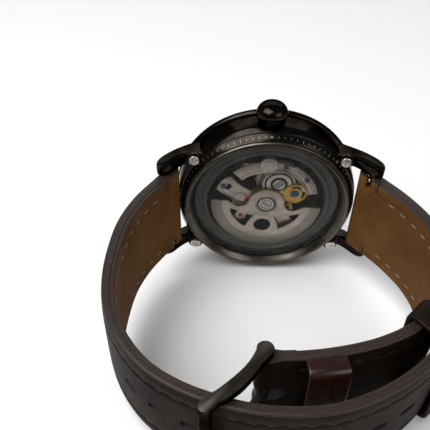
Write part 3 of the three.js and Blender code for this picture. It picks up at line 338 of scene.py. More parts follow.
KEEPER = leather("keeper_leather", (0.0075, 0.0016, 0.0015), (0.021, 0.0052, 0.0046), 0.26, 0.45, 0.004,
    0.22, 0.3)
LINING = leather("lining_leather", (0.086, 0.0375, 0.0105), (0.137, 0.066, 0.0205), 0.65, 2.2, 0.03,
    0.0, 0.05)
EDGE_PAINT = plain("edge_paint", (0.014, 0.0090, 0.0068), (0.030, 0.0195, 0.0145), 0.42, 2.5, 0.02,
    Specular_IOR_Level=0.25)
# Dark cut walls of the holes and bores, and the painted shade in the slits at the strap's folds.
HOLE_WALL_AND_SLIT_SHADE = plain("hole_wall_and_slit_shade", (0.006, 0.0035, 0.003), (0.013, 0.008, 0.007), 0.7, 4.0, 0.03)
THREAD_DARK = plain("thread_dark", (0.004, 0.003, 0.003), (0.011, 0.008, 0.007), 0.75, 9.0, 0.03)
THREAD_PALE = plain("thread_pale", (0.16, 0.15, 0.11), (0.24, 0.225, 0.17), 0.75, 9.0, 0.03)


# ---------------------------------------------------------------- making pieces
def place(at=(0, 0), turn=0.0, z=0.0):
    """Local matrix of a piece that is drawn about its own centre."""
    return Matrix.Translation((at[0], at[1], z)) @ Matrix.Rotation(math.radians(turn), 4, "Z")


def mesh_of(bm, name):
    """The finished mesh, with its faces turned outwards. Uses the bmesh up."""
    bmesh.ops.recalc_face_normals(bm, faces=bm.faces[:])
    if bm.calc_volume(signed=True) < 0:
        bmesh.ops.reverse_faces(bm, faces=bm.faces[:])
    mesh = bpy.data.meshes.new(name)
    bm.to_mesh(mesh)
    bm.free()
    return mesh


def linked(name, data):
    obj = bpy.data.objects.new(name, data)
    bpy.context.scene.collection.objects.link(obj)
    return obj


def evaluated(obj):
    """The object's mesh with its curve or modifiers worked out."""
    graph = bpy.context.evaluated_depsgraph_get()
    return bpy.data.meshes.new_from_object(obj.evaluated_get(graph))


def smooth(obj, degrees=38):
    """Rounded faces shade smoothly, and edges sharper than this stay crisp."""
    bpy.context.view_layer.update()
    for polygon in obj.data.polygons:
        polygon.use_smooth = True
    obj.data.set_sharp_from_angle(angle=math.radians(degrees))


def add_piece(name, bm, materials, node=None, body=None, local=None, slot=None, angle=38, stands=True):
    """A piece in the watchmaker's frame. It rides with its node's body, and stands for its node."""
    obj = linked(name, mesh_of(bm, name))
    for material in materials if isinstance(materials, (list, tuple)) else [materials]:
        obj.data.materials.append(material)
    obj.matrix_world = WATCH @ (local if local is not None else Matrix.Identity(4))
    smooth(obj, angle)
    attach(obj, body or BODY_OF[node])
    if stands:
        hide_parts(node)
    slot or SLOT_OF[node]
    return obj


def add_detail(*about, **more):
    """A piece that decorates the watch and stands for no node."""
    return add_piece(*about, **more, stands=False)


def temporary(data):
    """A throwaway object. Its empty slots keep the faces' material numbers through a boolean."""
    if isinstance(data, bpy.types.Mesh):
        for _ in range(4):
            data.materials.append(None)
    obj = linked("temporary", data)
    return obj


def lathe(profile, steps=160):
    """Mesh of [radius, z] points turned about Z. A profile that leaves the axis closes on itself."""
    bm = bmesh.new()
    on_axis = [r < 1e-6 for r, _ in profile]
    rings = []
    for (r, z), axis in zip(profile, on_axis):
        if axis:
            rings.append([bm.verts.new((0, 0, z))])
        else:
            rings.append([bm.verts.new((*polar(r, 360 * i / steps), z)) for i in range(steps)])
    pairs = list(zip(rings, rings[1:]))
    if not (on_axis[0] and on_axis[-1]):
        pairs.append((rings[-1], rings[0]))
    for a, b in pairs:
        for i in range(steps):
            j = (i + 1) % steps
            corners = [a[i % len(a)], a[j % len(a)], b[j % len(b)], b[i % len(b)]]
            face = list(dict.fromkeys(corners))
            if len(face) > 2:
                bm.faces.new(face)
    return bm


def band(inner, outer, low, high):
    """The rectangular profile of a disc, a ring or a tube."""
    return [(inner, low), (outer, low), (outer, high), (inner, high)]


def rounded(profile, radius=0.12, steps=3):
    """A profile with each corner turned into a small arc; points on the axis stay."""
    made = []
    count = len(profile)
    for i, corner in enumerate(profile):
        before, after = profile[i - 1], profile[(i + 1) % count]
        if corner[0] < 1e-6:
            made.append(corner)
            continue
        c = Vector(corner)
        to_a, to_b = Vector(before) - c, Vector(after) - c
        cut = min(radius, to_a.length * 0.4, to_b.length * 0.4)
        a, b = c + to_a.normalized() * cut, c + to_b.normalized() * cut
        for k in range(steps + 1):
            t = k / steps
            p = a * (1 - t) ** 2 + c * 2 * t * (1 - t) + b * t * t
            made.append((p.x, p.y))
    return made


def outline_mesh(outline, holes=(), z0=0.0, z1=1.0, bevel=0.04):
    """A plate between two heights with bevelled edges, as a closed mesh."""
    curve = bpy.data.curves.new("plate", "CURVE")
    curve.dimensions = "2D"
    curve.fill_mode = "BOTH"
    curve.bevel_depth = bevel
    curve.bevel_resolution = 1
    curve.offset = -bevel
    curve.extrude = max(0.0, (z1 - z0) / 2 - bevel)
    for ring in (outline, *holes):
        spline = curve.splines.new("POLY")
        spline.points.add(len(ring) - 1)
        for point, (x, y) in zip(spline.points, ring):
            point.co = (x, y, 0, 1)
        spline.use_cyclic_u = True
    obj = temporary(curve)
    mesh = evaluated(obj)
    bpy.data.objects.remove(obj)
    bpy.data.curves.remove(curve)
    bm = bmesh.new()
    bm.from_mesh(mesh)
    bpy.data.meshes.remove(mesh)
    bmesh.ops.remove_doubles(bm, verts=bm.verts[:], dist=1e-4)
    bmesh.ops.translate(bm, verts=bm.verts[:], vec=(0, 0, (z0 + z1) / 2))
    return bm


def slab(outline, z0, z1, bevel=0.04):
    """A plate without holes."""
    return outline_mesh(outline, (), z0, z1, bevel)


def joined(*parts):
    """Several closed bodies as one bmesh. A part is a bmesh or (bmesh, matrix)."""
    made = bmesh.new()
    for part in parts:
        bm, matrix = part if isinstance(part, tuple) else (part, None)
        if matrix is not None:
            bm.transform(matrix)
        mesh = bpy.data.meshes.new("part")
        bm.to_mesh(mesh)
        bm.free()
        made.from_mesh(mesh)
        bpy.data.meshes.remove(mesh)
    return made


def boolean(base, cutters, operation="DIFFERENCE"):
    """base with each cutter added or taken away, all bmeshes; exact and repeatable."""
    target = temporary(mesh_of(base, "base"))
    tools = []
    for cutter in cutters:
        tool = temporary(mesh_of(cutter, "cutter"))
        modifier = target.modifiers.new("cut", "BOOLEAN")
        modifier.operation = operation
        modifier.solver = "MANIFOLD"
        modifier.object = tool
        tools.append(tool)
    bpy.context.view_layer.update()
    mesh = evaluated(target)
    bm = bmesh.new()
    bm.from_mesh(mesh)
    for obj in [target, *tools]:
        data = obj.data
        bpy.data.objects.remove(obj)
        bpy.data.meshes.remove(data)
    bpy.data.meshes.remove(mesh)
    return bm


def with_material(bm, index):
    for f in bm.faces:
        f.material_index = index
    return bm


def facing(bm, axis, index, limit=0.9):
    """Gives the faces that look along an axis another material."""
    bm.normal_update()
    for f in bm.faces:
        if abs(f.normal[axis]) > limit:
            f.material_index = index
    return bm


def box_bm(low, high):
    bm = bmesh.new()
    size = Vector(high) - Vector(low)
    middle = (Vector(high) + Vector(low)) / 2
    bmesh.ops.create_cube(bm, size=1, matrix=Matrix.Translation(middle) @ Matrix.Diagonal((*size, 1)))
    return bm


def bevelled(bm, width=0.08, segments=2, degrees=40):
    """Rounds every edge sharper than this."""
    sharp = [e for e in bm.edges if len(e.link_faces) == 2 and e.calc_face_angle(0) > math.radians(degrees)]
    bmesh.ops.bevel(bm, geom=sharp, offset=width, segments=segments, profile=0.5, affect="EDGES",
        clamp_overlap=True)
    return bm


TO_X = Matrix.Rotation(math.radians(90), 4, "Y")  # turns a piece drawn about Z to lie along X


def rod(r, x0, x1, y=0.0, z=0.0, chamfer=0.06, steps=40):
    """A chamfered rod along X."""
    profile = rounded(band(0, r, x0, x1), chamfer)
    return lathe(profile, steps), Matrix.Translation((0, y, z)) @ TO_X


def refined(node, material, width=0.05, angle=38):
    """The node's own shape with bevelled edges, for small parts that are right as they are."""
    bm = bmesh.new()
    bm.from_mesh(frame["nodes"][node].data)
    bm.transform(TO_WATCH)
    bmesh.ops.remove_doubles(bm, verts=bm.verts[:], dist=2e-4)
    flat = math.radians(1)
    bmesh.ops.dissolve_limit(bm, angle_limit=flat, verts=bm.verts[:], edges=bm.edges[:])
    bevelled(bm, width, 2)
    return add_piece(f"{node}_finished", bm, material, node, angle=angle)


# ---------------------------------------------------------------- case
def upright(bm):
    """Turns a shape drawn as (y, z) and filled in x into the watchmaker's frame."""
    bm.transform(Matrix(((0, 0, 1, 0), (1, 0, 0, 0), (0, 1, 0, 0), (0, 0, 0, 1))))
    return bm


LUG_X = (11.25, 14.0)
LUG_BAR = (22.2, -4.7)
CASE_BORE = 17.7
LUG_SIDE = bezier([(13.5, -3.3), (16.2, -3.3), (18.9, -3.35), (20.4, -4.5), (21.5, -5.8), (22.6, -7.3),
    (23.7, -7.5), (24.9, -7.6), (25.08, -6.5), (25.1, -5.3), (24.3, -4.2), (23.4, -2.95), (22.2, -1.9),
    (20.9, -0.7), (19.4, 0.2), (18.0, 1.15), (16.5, 2.0), (15.0, 2.4), (13.5, 2.6)], 6)
SCREW_SITES = [(sx * 13.1, sy * 16.9) for sx in (1, -1) for sy in (1, -1)]


def case_middle():
    ring = lathe(rounded([(CASE_BORE, -3.3), (20.3, -3.3), (20.95, -1.8), (21.1, 0.4), (21.1, 2.2),
        (20.8, 3.3), (CASE_BORE, 3.3)], 0.3, 4))
    lugs = []
    for end in (1, -1):
        side = [(end * y, z) for y, z in LUG_SIDE]
        lugs += [upright(slab(side, *span, bevel=0.32)) for span in (LUG_X, (-LUG_X[1], -LUG_X[0]))]
    solid = boolean(ring, lugs, "UNION")
    cutters = [lathe(band(0, CASE_BORE, -9, 9))]
    cutters += [joined(rod(0.5, -12.6, 12.6, end * LUG_BAR[0], LUG_BAR[1])) for end in (1, -1)]
    cutters += [joined((lathe(band(0, 0.75, -5, -1.2), 24), place(at))) for at in SCREW_SITES]
    cutters.append(joined(rod(1.25, 10, 24)))
    add_piece("case_body", boolean(solid, cutters), DARK_STEEL, "case_middle", angle=32)


BAND_MARKS = 90


def band_marks():
    """Ticks and dots round the case back's conical band."""
    marks = []
    down, out = Vector((-0.591, 0, -0.806)), Vector((0.806, 0, -0.591))
    on_band = Matrix((down, out.cross(down), out)).transposed().to_4x4()
    on_band.translation = (19.95, 0, -4.5)
    for i in range(BAND_MARKS):
        if i % 15 == 0:
            mark = lathe(rounded(band(0, 0.22, -0.03, 0.02), 0.03, 2), 16)
        else:
            long = 0.42 if i % 5 == 0 else 0.26
            mark = bevelled(box_bm((-long, -0.06, -0.03), (long, 0.06, 0.015)), 0.015, 1)
        marks.append((mark, Matrix.Rotation(TAU * i / BAND_MARKS, 4, "Z") @ on_band))
    return joined(*marks)


def case_back():
    flange = lathe(rounded([(18.1, -4.0), (18.1, -3.35), (20.2, -3.35), (20.5, -3.75), (19.4, -5.25),
        (18.1, -5.25)], 0.1))
    ears = [joined((lathe(rounded(band(0, 1.75, -3.95, -3.35), 0.1), 40), place(at)))
        for at in SCREW_SITES]
    solid = boolean(flange, ears, "UNION")
    holes = []
    for at in SCREW_SITES:
        holes.append(joined((lathe([(0, -9), (1.38, -9), (1.38, -3.95), (0.8, -3.9), (0.8, -2),
            (0, -2)], 40), place(at))))
    add_piece("case_back_ring", boolean(solid, holes), DARK_TURNED, "case_back")
    add_detail("case_back_band_marks", band_marks(), MARK_STEEL, "case_back")
    add_piece("window_rim", lathe(rounded([(17.3, -4.35), (18.05, -4.35), (18.05, -5.3), (19.3, -5.3),
        (19.1, -5.72), (18.4, -5.82), (18.2, -5.6), (17.3, -4.6)], 0.09), 200), RIM_STEEL,
        "window_ring")
    add_piece("back_glass_pane", lathe(rounded(band(0, 17.2, -5.25, -4.4), 0.12)), GLASS,
        "case_back_crystal")
    for i, at in enumerate(SCREW_SITES):
        head = lathe(rounded([(0, -4.0), (1.25, -4.0), (1.25, -4.42), (1.0, -4.57), (0, -4.6)], 0.07), 48)
        shank = lathe([(0, -4.05), (0.7, -4.05), (0.7, -1.5), (0.55, -1.35), (0, -1.35)], 24)
        cross = [box_bm((-0.85, -0.15, -5), (0.85, 0.15, -4.32)), box_bm((-0.15, -0.85, -5),
            (0.15, 0.85, -4.32))]
        screw = boolean(head, [shank], "UNION")
        local = place(at, 28 + 90 * i / 3)
        add_piece(f"case_screw_{i + 1}", boolean(screw, cross), STEEL, f"case_back_screw_{i + 1}",
            local=local)


def case_front():
    add_piece("bezel_ring", lathe(rounded([(17.9, 3.4), (20.9, 3.4), (21.3, 4.2), (21.0, 5.1),
        (19.8, 5.9), (18.35, 5.7), (18.35, 4.1), (17.9, 4.1)], 0.28, 4), 200), DARK_STEEL, "bezel")
    add_piece("front_glass_pane", lathe(rounded([(0, 4.2), (18.25, 4.2), (18.25, 5.55), (17.5, 6.1),
        (16.4, 6.25), (0, 6.25)], 0.3, 4)), GLASS, "front_crystal")
    add_piece("rehaut", lathe(rounded([(16.3, 1.75), (17.5, 1.75), (17.5, 3.9), (17.3, 4.1)], 0.06),
        180), DARK_BRUSHED, "flange_ring")
    ticks = []
    slope = math.atan2(2.35, 1.0)
    for minute in range(60):
        long = 0.85 if minute % 5 == 0 else 0.5
        tick = bevelled(box_bm((-long, -0.07, -0.03), (long, 0.07, 0.03)), 0.015, 1)
        ticks.append((tick, Matrix.Rotation(TAU * minute / 60, 4, "Z")
            @ Matrix.Translation((16.8, 0, 2.92)) @ Matrix.Rotation(-slope, 4, "Y")))
    add_detail("minute_track", joined(*ticks), HAND_STEEL, "flange_ring")


def crown():
    dome = bezier([(3.12, 22.3), (3.5, 22.5), (3.5, 23.0), (3.5, 23.9), (2.9, 24.7), (2.1, 25.7),
        (0, 25.7)], 9)
    profile = [(0, 24.0), (0.5, 24.0), (0.5, 22.4), (1.35, 22.4), (1.35, 21.75), (2.9, 21.75),
        (3.28, 21.85), (3.28, 22.12), (3.12, 22.18)] + dome
    add_piece("crown_knob", joined((lathe(profile, 96), TO_X)), DARK_STEEL, "crown", angle=30)
    refined("crown_tube", STEEL)
    refined("winding_stem", STEEL, 0.02)
    refined("setting_lever", STEEL, 0.02)


# ---------------------------------------------------------------- movement: plates and bridges
BRIDGE = (-2.75, -2.2)
ENGRAVED = (-2.77, -2.72)
BARREL = joint_at("barrel_turn")
THIRD = joint_at("third_wheel_turn")
ESCAPE = joint_at("escape_wheel_turn")
BALANCE = joint_at("balance_swing")
PALLET = joint_at("pallet_fork_rock")
CROWN_WHEEL = joint_at("crown_wheel_turn")
REDUCTION = joint_at("reduction_wheel_turn")
MINUTE_WHEEL = joint_at("minute_wheel_turn")
DIAL_AXIS = (0, 0)
ESCAPE_SEAT = (0.9, -6.2)
MOVEMENT_R = 13.4
BARREL_FEET = [polar(11.3, -26), polar(11.3, 54)]
TRAIN_FEET = [polar(11.2, -66), polar(11.6, 146)]
COCK_FOOT = polar(12.2, 232)


def pillar(at, r=0.9):
    return joined((lathe(rounded(band(0, r, -2.3, 0.1), 0.05), 32), place(at)))


def hole(at, r, low=-6, high=3):
    return joined((lathe(band(0, r, low, high), 40), place(at)))


def holder():
    ring = lathe(rounded([(13.65, -2.75), (14.1, -3.2), (15.0, -3.2), (15.1, -3.05), (15.5, -3.05),
        (15.6, -3.2), (16.9, -3.2), (17.55, -2.6), (17.55, 1.2), (13.65, 1.2)], 0.06), 200)
    add_piece("holder_ring", boolean(ring, [joined(rod(1.3, 12, 19))]), HOLDER, "movement_holder")


def mainplate():
    windows = [(3.0, 9.0, 14, 47), (2.1, 4.9, 118, 158), (2.1, 7.2, 168, 196), (2.1, 4.6, 206, 236)]
    holes = [sector(*w) for w in windows] + [circle(1.5), circle(0.35, BALANCE)]
    plate = outline_mesh(circle(MOVEMENT_R), holes, 0.15, 1.2, 0.07)
    channel = box_bm((5.2, -1.25, -1), (14, 1.25, 0.95))
    plate = boolean(plate, [channel])
    # Faces towards the dial get the perlage; every other face keeps the dark painted shade.
    plate.normal_update()
    for f in plate.faces:
        if f.normal.z > 0.9 and f.calc_center_median().z > 1.1:
            f.material_index = 1
    add_piece("mainplate_ring", plate, [PLATE_SHADE, PERLAGE], "mainplate")
    stones, settings = [], []
    for at, r in ((THIRD, 0.5), (ESCAPE, 0.45), (PALLET, 0.4)):
        stones.append((turned_part(band(0.1, r, 1.15, 1.23), 32), place(at)))
        settings.append((turned_part(band(r + 0.02, r + 0.28, 1.15, 1.26), 40), place(at)))
    add_detail("mainplate_jewels", joined(*stones), JEWEL, "mainplate")
    add_detail("mainplate_settings", joined(*settings), GILT, "mainplate")


def bridge(name, node, outlines, feet, holes):
    """A bridge: plates joined into one, on pillars, with bevelled edges."""
    plates = [slab(points, *BRIDGE, bevel=0) for points in outlines]
    solid = boolean(plates[0], plates[1:], "UNION") if len(plates) > 1 else plates[0]
    solid = boolean(solid, [hole(at, r) for at, r in holes])
    bmesh.ops.remove_doubles(solid, verts=solid.verts[:], dist=1e-3)
    bmesh.ops.dissolve_limit(solid, angle_limit=0.01, verts=solid.verts[:], edges=solid.edges[:])
    bevelled(solid, 0.07, 2, 50)
    solid = boolean(solid, [pillar(at) for at in feet], "UNION")
    add_piece(name, solid, NICKEL_BRUSHED, node)


TRAIN_OUTLINE = bezier([(3.6, -11.9), (7.2, -10.6), (7.4, -8.4), (4.2, -6.4), (3.0, -3.4), (3.3, 0.6),
    (0.4, 2.4), (-2.2, 4.8), (-5.4, 6.2), (-7.8, 7.6), (-8.4, 9.4), (-11.2, 8.6), (-12.0, 5.4),
    (-8.6, 3.4), (-5.6, 1.2), (-3.6, -0.6), (-1.7, -1.9), (-1.0, -4.4), (-0.4, -5.9), (0.9, -9.2),
    (3.6, -11.9)], 8)[:-1]


def bridges():
    bridge("barrel_bridge_plate", "barrel_bridge", [sector(7.8, 11.8, -6, 33),
        sector(8.7, 11.8, -43, -3), sector(9.6, 12.2, 30, 78), sector(7.2, 9.8, 60, 71),
        circle(2.3, BARREL), circle(1.3, REDUCTION)], BARREL_FEET, [(BARREL, 0.75),
        (CROWN_WHEEL, 0.45)])
    lines = [slab(sector(r, r + 0.16, 36, 76), *ENGRAVED, 0) for r in (10.1, 11.1, 11.7)]
    lines.append(slab(sector(9.3, 9.42, -41, -8), *ENGRAVED, 0))
    add_detail("barrel_bridge_lines", joined(*lines), GROOVE, "barrel_bridge")
    bridge("train_bridge_plate", "train_bridge", [TRAIN_OUTLINE, circle(2.1, ESCAPE_SEAT)], TRAIN_FEET,
        [(DIAL_AXIS, 0.5), ((4.4, -9.2), 0.9), (THIRD, 0.32), (ESCAPE, 0.32)])
    ring = outline_mesh(circle(1.75, ESCAPE_SEAT), [circle(1.6, ESCAPE_SEAT)], *ENGRAVED, 0)
    add_detail("escape_seat_line", ring, GROOVE, "train_bridge")
    for name, at, r in (("third_jewel", THIRD, 0.5), ("escape_jewel", ESCAPE, 0.5),
            ("balance_jewel", BALANCE, 0.55)):
        stone = lathe(rounded([(0.12, -2.85), (r - 0.06, -2.85), (r, -2.76), (r, -2.7), (0.12, -2.7)],
            0.03, 2), 40)
        setting = lathe(rounded(band(r + 0.02, r + 0.2, -2.8, -2.7), 0.02, 2), 40)
        node = "balance_cock" if at is BALANCE else "train_bridge"
        add_detail(name, stone, JEWEL, node, local=place(at))
        add_detail(f"{name}_setting", setting, GILT, node, local=place(at))
    along = Vector(BALANCE).normalized()
    across = Vector((-along.y, along.x))
    arm = [tuple(along * a + across * b) for a, b in bezier(both_sides([(6.6, -0.9), (8.2, -0.8),
        (9.4, -1.0), (10.4, -2.3), (11.4, -2.6), (12.8, -2.7), (12.8, -1.9), (13.2, 0.0)]), 6)]
    bridge("balance_cock_plate", "balance_cock", [arm, circle(1.3, BALANCE)], [COCK_FOOT], [(BALANCE, 0.3)])
    for i, at in enumerate([polar(11.1, 21), BARREL_FEET[1], *TRAIN_FEET, COCK_FOOT]):
        head = lathe(rounded([(0, -2.79), (0.62, -2.79), (0.62, -3.02), (0.5, -3.12), (0, -3.13)], 0.04), 40)
        slot = box_bm((-1, -0.09, -4), (1, 0.09, -2.98))
        add_piece(f"blued_screw_{i + 1}", boolean(head, [slot]), BLUED, f"bridge_screw_{i + 1}",
            local=place(at, 35 * i + 12))


# ---------------------------------------------------------------- movement: wheels
def tooth_phase(node, centre, low=-9.0, high=9.0):
    """The angle, in degrees, at which the CAD wheel has a tooth tip between two heights."""
    best, angle = 0.0, 0.0
    for vertex in frame["nodes"][node].data.vertices:
        p = TO_WATCH @ vertex.co
        dx, dy = p.x - centre[0], p.y - centre[1]
        if low < p.z < high and math.hypot(dx, dy) > best + 1e-4:
            best, angle = math.hypot(dx, dy), math.degrees(math.atan2(dy, dx))
    return angle


def teeth(count, pitch_r, module, phase):
    """Outline of teeth: each has a flat root, straight flanks and a rounded tip."""
    shape = ((-0.5, -1.1), (-0.34, -1.1), (-0.2, 0.0), (-0.08, 0.8), (0.08, 0.8), (0.2, 0.0), (0.34, -1.1))
    pitch = 360 / count
    return [polar(pitch_r + high * module, phase + pitch * (i + turn)) for i in range(count) for turn,
        high in shape]


def gear(count, module, phase):
    """Gear outline whose pitch radius follows from its teeth."""
    return teeth(count, module * count / 2, module, phase)


def arms(count, inner, outer, width, phase=0.0):
    """Windows that leave tapering arms between hub and rim."""
    made = []
    for i in range(count):
        a, b = phase + 360 * i / count, phase + 360 * (i + 1) / count
        at_hub = math.degrees(width / inner)
        at_rim = math.degrees(width * 0.75 / outer)
        made.append(arc(outer, a + at_rim / 2, b - at_rim / 2) + arc(inner, b - at_hub / 2, a + at_hub / 2))
    return made


def turned_part(profile, steps=40):
    return lathe(rounded(profile, 0.03, 2), steps)


def arbor(r, z0, z1, shoulders=()):
    """A pivoted arbor: thin pivots at both ends, with wider seats between them."""
    parts = [turned_part([(0, z0), (r * 0.6, z0), (r * 0.6, z0 + 0.25), (r, z0 + 0.3), (r, z1 - 0.3),
        (r * 0.6, z1 - 0.25), (r * 0.6, z1), (0, z1)], 24)]
    parts += [turned_part(band(0, wide, a, b), 32) for wide, a, b in shoulders]
    return parts


def train_wheel(node, at, count, pitch_r, module, z, spokes=4, thick=0.16, pinion=None, shaft=None,
        shoulders=()):
    """A gilt wheel and, as a piece of its own, its steel arbor with the pinion's leaves."""
    phase = tooth_phase(node, at, z, z + thick + 1e-3)
    outline = teeth(count, pitch_r, module, phase)
    web = outline_mesh(outline, arms(spokes, pitch_r * 0.22, pitch_r * 0.8, 0.5, phase), z, z + thick, 0.015)
    add_piece(f"{node}_web", web, GILT, node, local=place(at))
    steel = arbor(*shaft, shoulders=shoulders)
    if pinion:
        leaves, r, leaf_module, z0, z1 = pinion
        start = tooth_phase(node, at, z0 - 1e-3, z1 + 1e-3)
        steel.append(slab(teeth(leaves, r, leaf_module, start), z0, z1, 0.02))
    add_detail(f"{node}_arbor", joined(*steel), STEEL, node, local=place(at))


# A module is twice the centre distance over the number of teeth that mesh.
THIRD_MODULE = 2 * 4.4 / (48 + 6)
FOURTH_MODULE = 2 * 4.4 / (45 + 6)
ESCAPE_MODULE = 2 * 4.6 / (60 + 6)
BARREL_MODULE = 0.2225
WINDING_MODULE = 0.195
ROTOR_MODULE = 0.204


def spiral(inner, outer, turns, thick, z0, z1, step=10):
    """A flat ribbon wound from one radius to another, with its two ends capped."""
    count = int(turns * 360 / step)
    outside, inside = [], []
    for i in range(count + 1):
        r = inner + (outer - inner) * i / count
        outside.append(polar(r + thick / 2, step * i))
        inside.append(polar(r - thick / 2, step * i))
    return slab(outside + inside[::-1], z0, z1, 0.01)


def going_train():
    phase = tooth_phase("barrel", BARREL)
    drum = turned_part([(0.66, -1.15), (4.55, -1.15), (4.55, -1.8), (4.85, -1.8), (4.85, -0.9),
        (0.66, -0.9)], 120)
    rim = outline_mesh(gear(48, BARREL_MODULE, phase), [circle(4.4)], -1.15, -0.9, 0.02)
    add_piece("barrel_drum", joined(drum, rim), NICKEL, "barrel", local=place(BARREL))
    add_piece("mainspring_coil", spiral(0.95, 4.3, 7, 0.14, -1.75, -1.22), STEEL, "mainspring",
        local=place(BARREL))
    train_wheel("centre_wheel", DIAL_AXIS, 48, THIRD_MODULE * 24, THIRD_MODULE, -0.5, pinion=(8,
        BARREL_MODULE * 4, BARREL_MODULE, -1.3, -0.62), shaft=(0.55, -1.32, 0.5))
    train_wheel("third_wheel", THIRD, 45, FOURTH_MODULE * 22.5, FOURTH_MODULE, -1.66, 5, pinion=(6,
        THIRD_MODULE * 3, THIRD_MODULE, -0.62, -0.22), shaft=(0.2, -2.6, 0.1),
        shoulders=[(0.5, -1.7, -1.4)])
    train_wheel("fourth_wheel", DIAL_AXIS, 60, ESCAPE_MODULE * 30, ESCAPE_MODULE, -2.07, 5, pinion=(6,
        FOURTH_MODULE * 3, FOURTH_MODULE, -1.95, -1.42), shaft=(0.2, -2.7, 3.5),
        shoulders=[(0.6, -2.1, -1.9)])
    escapement()


def escapement():
    tips = tooth_phase("escape_wheel", ESCAPE, -1.1, -0.9)
    rake = ((0.72, -12.0), (0.97, -4.0), (1.0, 0.0), (0.78, 0.8), (0.72, 4.0))
    outline = [polar(2.2 * r, tips + 24 * i + turn) for i in range(15) for r, turn in rake]
    web = outline_mesh(outline, arms(4, 0.6, 1.3, 0.3), -1.08, -0.92, 0.015)
    steel = arbor(0.16, -2.6, 0.1, [(0.6, -1.12, -0.88)])
    steel.append(slab(gear(6, ESCAPE_MODULE, tooth_phase("escape_wheel", ESCAPE, -2.13, -1.74)), -2.12,
        -1.75, 0.02))
    add_piece("escape_wheel_web", joined(web, *steel), STEEL, "escape_wheel", local=place(ESCAPE))
    half = [(-1.95, 1.35), (-1.8, 1.6), (-1.6, 1.62), (-1.0, 0.7), (-0.3, 0.42), (0.8, 0.2),
        (1.75, 0.16), (1.9, 0.36), (2.12, 0.28), (1.9, 0.0)]
    notch = [(-1.1, -0.7), (-0.75, 0.0), (-1.1, 0.7)]
    lever = bezier(both_sides(half) + notch + half[:1], 4)[:-1]
    towards = math.degrees(math.atan2(BALANCE[1] - ESCAPE[1], BALANCE[0] - ESCAPE[0]))
    fork = joined(slab(lever, -0.85, -0.7, 0.015), *arbor(0.16, -1.2, 0.1))
    add_piece("pallet_lever", fork, STEEL, "pallet_fork", local=place(PALLET, towards))
    stones = [box_bm((-2.0, s * 1.5 - 0.09, -0.9), (-1.7, s * 1.5 + 0.09, -0.66)) for s in (1, -1)]
    add_detail("pallet_stones", joined(*stones), JEWEL, "pallet_fork", local=place(PALLET, towards))
    rim = outline_mesh(circle(3.6), arms(3, 0.8, 3.15, 0.55), -1.7, -1.35, 0.04)
    screws = [(turned_part(band(0, 0.17, 0, 0.12), 16), Matrix.Rotation(math.radians(15 + 30 * i), 4,
        "Z") @ Matrix.Translation((3.56, 0, -1.52)) @ TO_X) for i in range(12)]
    add_piece("balance_rim", joined(rim, *screws), GILT, "balance_wheel", local=place(BALANCE))
    staff = arbor(0.18, -2.72, 0.1, [(0.55, -1.4, -1.2), (0.45, -0.8, -0.7)])
    add_detail("balance_staff", joined(*staff), STEEL, "balance_wheel", local=place(BALANCE))
    add_piece("hairspring_coil", spiral(0.5, 2.4, 9, 0.06, -2.05, -1.9), BLUED, "hairspring",
        local=place(BALANCE))


def winding_work():
    phase = tooth_phase("ratchet_wheel", BARREL, -3.16, -2.88)
    rim = outline_mesh(gear(40, WINDING_MODULE, phase), [circle(0.9)], -3.15,
        -2.9, 0.03)
    crest = turned_part([(2.0, -3.1), (2.0, -3.2), (2.95, -3.2), (2.95, -3.1)], 120)
    post = turned_part([(0, -0.98), (0.6, -0.98), (0.6, -2.9), (0.95, -2.92), (0.95, -3.1), (0, -3.1)], 60)
    add_piece("ratchet_wheel_rim", joined(rim, crest, post), STEEL_TURNED, "ratchet_wheel",
        local=place(BARREL))
    sinks = [outline_mesh(circle(outer), [circle(inner)], -3.18, -3.1, 0) for inner,
        outer in ((1.45, 2.05), (2.93, 3.4))]
    add_detail("ratchet_wheel_sinks", joined(*sinks), GROOVE, "ratchet_wheel", local=place(BARREL))
    head = turned_part([(0, -3.1), (1.5, -3.1), (1.5, -3.36), (1.38, -3.42), (0, -3.43)], 80)
    slots = [with_material(box_bm((-2, y - 0.1, -4), (2, y + 0.1, -3.3)), 1)
        for y in (-0.66, -0.22, 0.22, 0.66)]
    add_detail("ratchet_screw", boolean(head, slots), [STEEL, GROOVE], "ratchet_wheel",
        local=place(BARREL, 50))
    phase = tooth_phase("crown_wheel", CROWN_WHEEL, -3.16, -2.88)
    spur = slab(gear(22, WINDING_MODULE, phase), -3.15, -2.9, 0.03)
    cap = turned_part([(0, -3.1), (1.15, -3.1), (1.15, -3.22), (1.05, -3.28), (0, -3.28)], 64)
    contrate = slab(teeth(18, 1.3, 0.14, tooth_phase("crown_wheel", CROWN_WHEEL, -0.86, -0.73)), -0.85,
        -0.74, 0.02)
    shaft = turned_part(band(0, 0.36, -2.95, -0.76), 32)
    add_piece("crown_wheel_rim", joined(spur, cap, contrate, shaft), STEEL_TURNED, "crown_wheel",
        local=place(CROWN_WHEEL))
    refined("click", STEEL, 0.04)


ROTOR_ANGLE = -90 + 5.5  # from the drawing, whose heavy side is at -Y, to where it hangs
ROTOR_R = 13.1


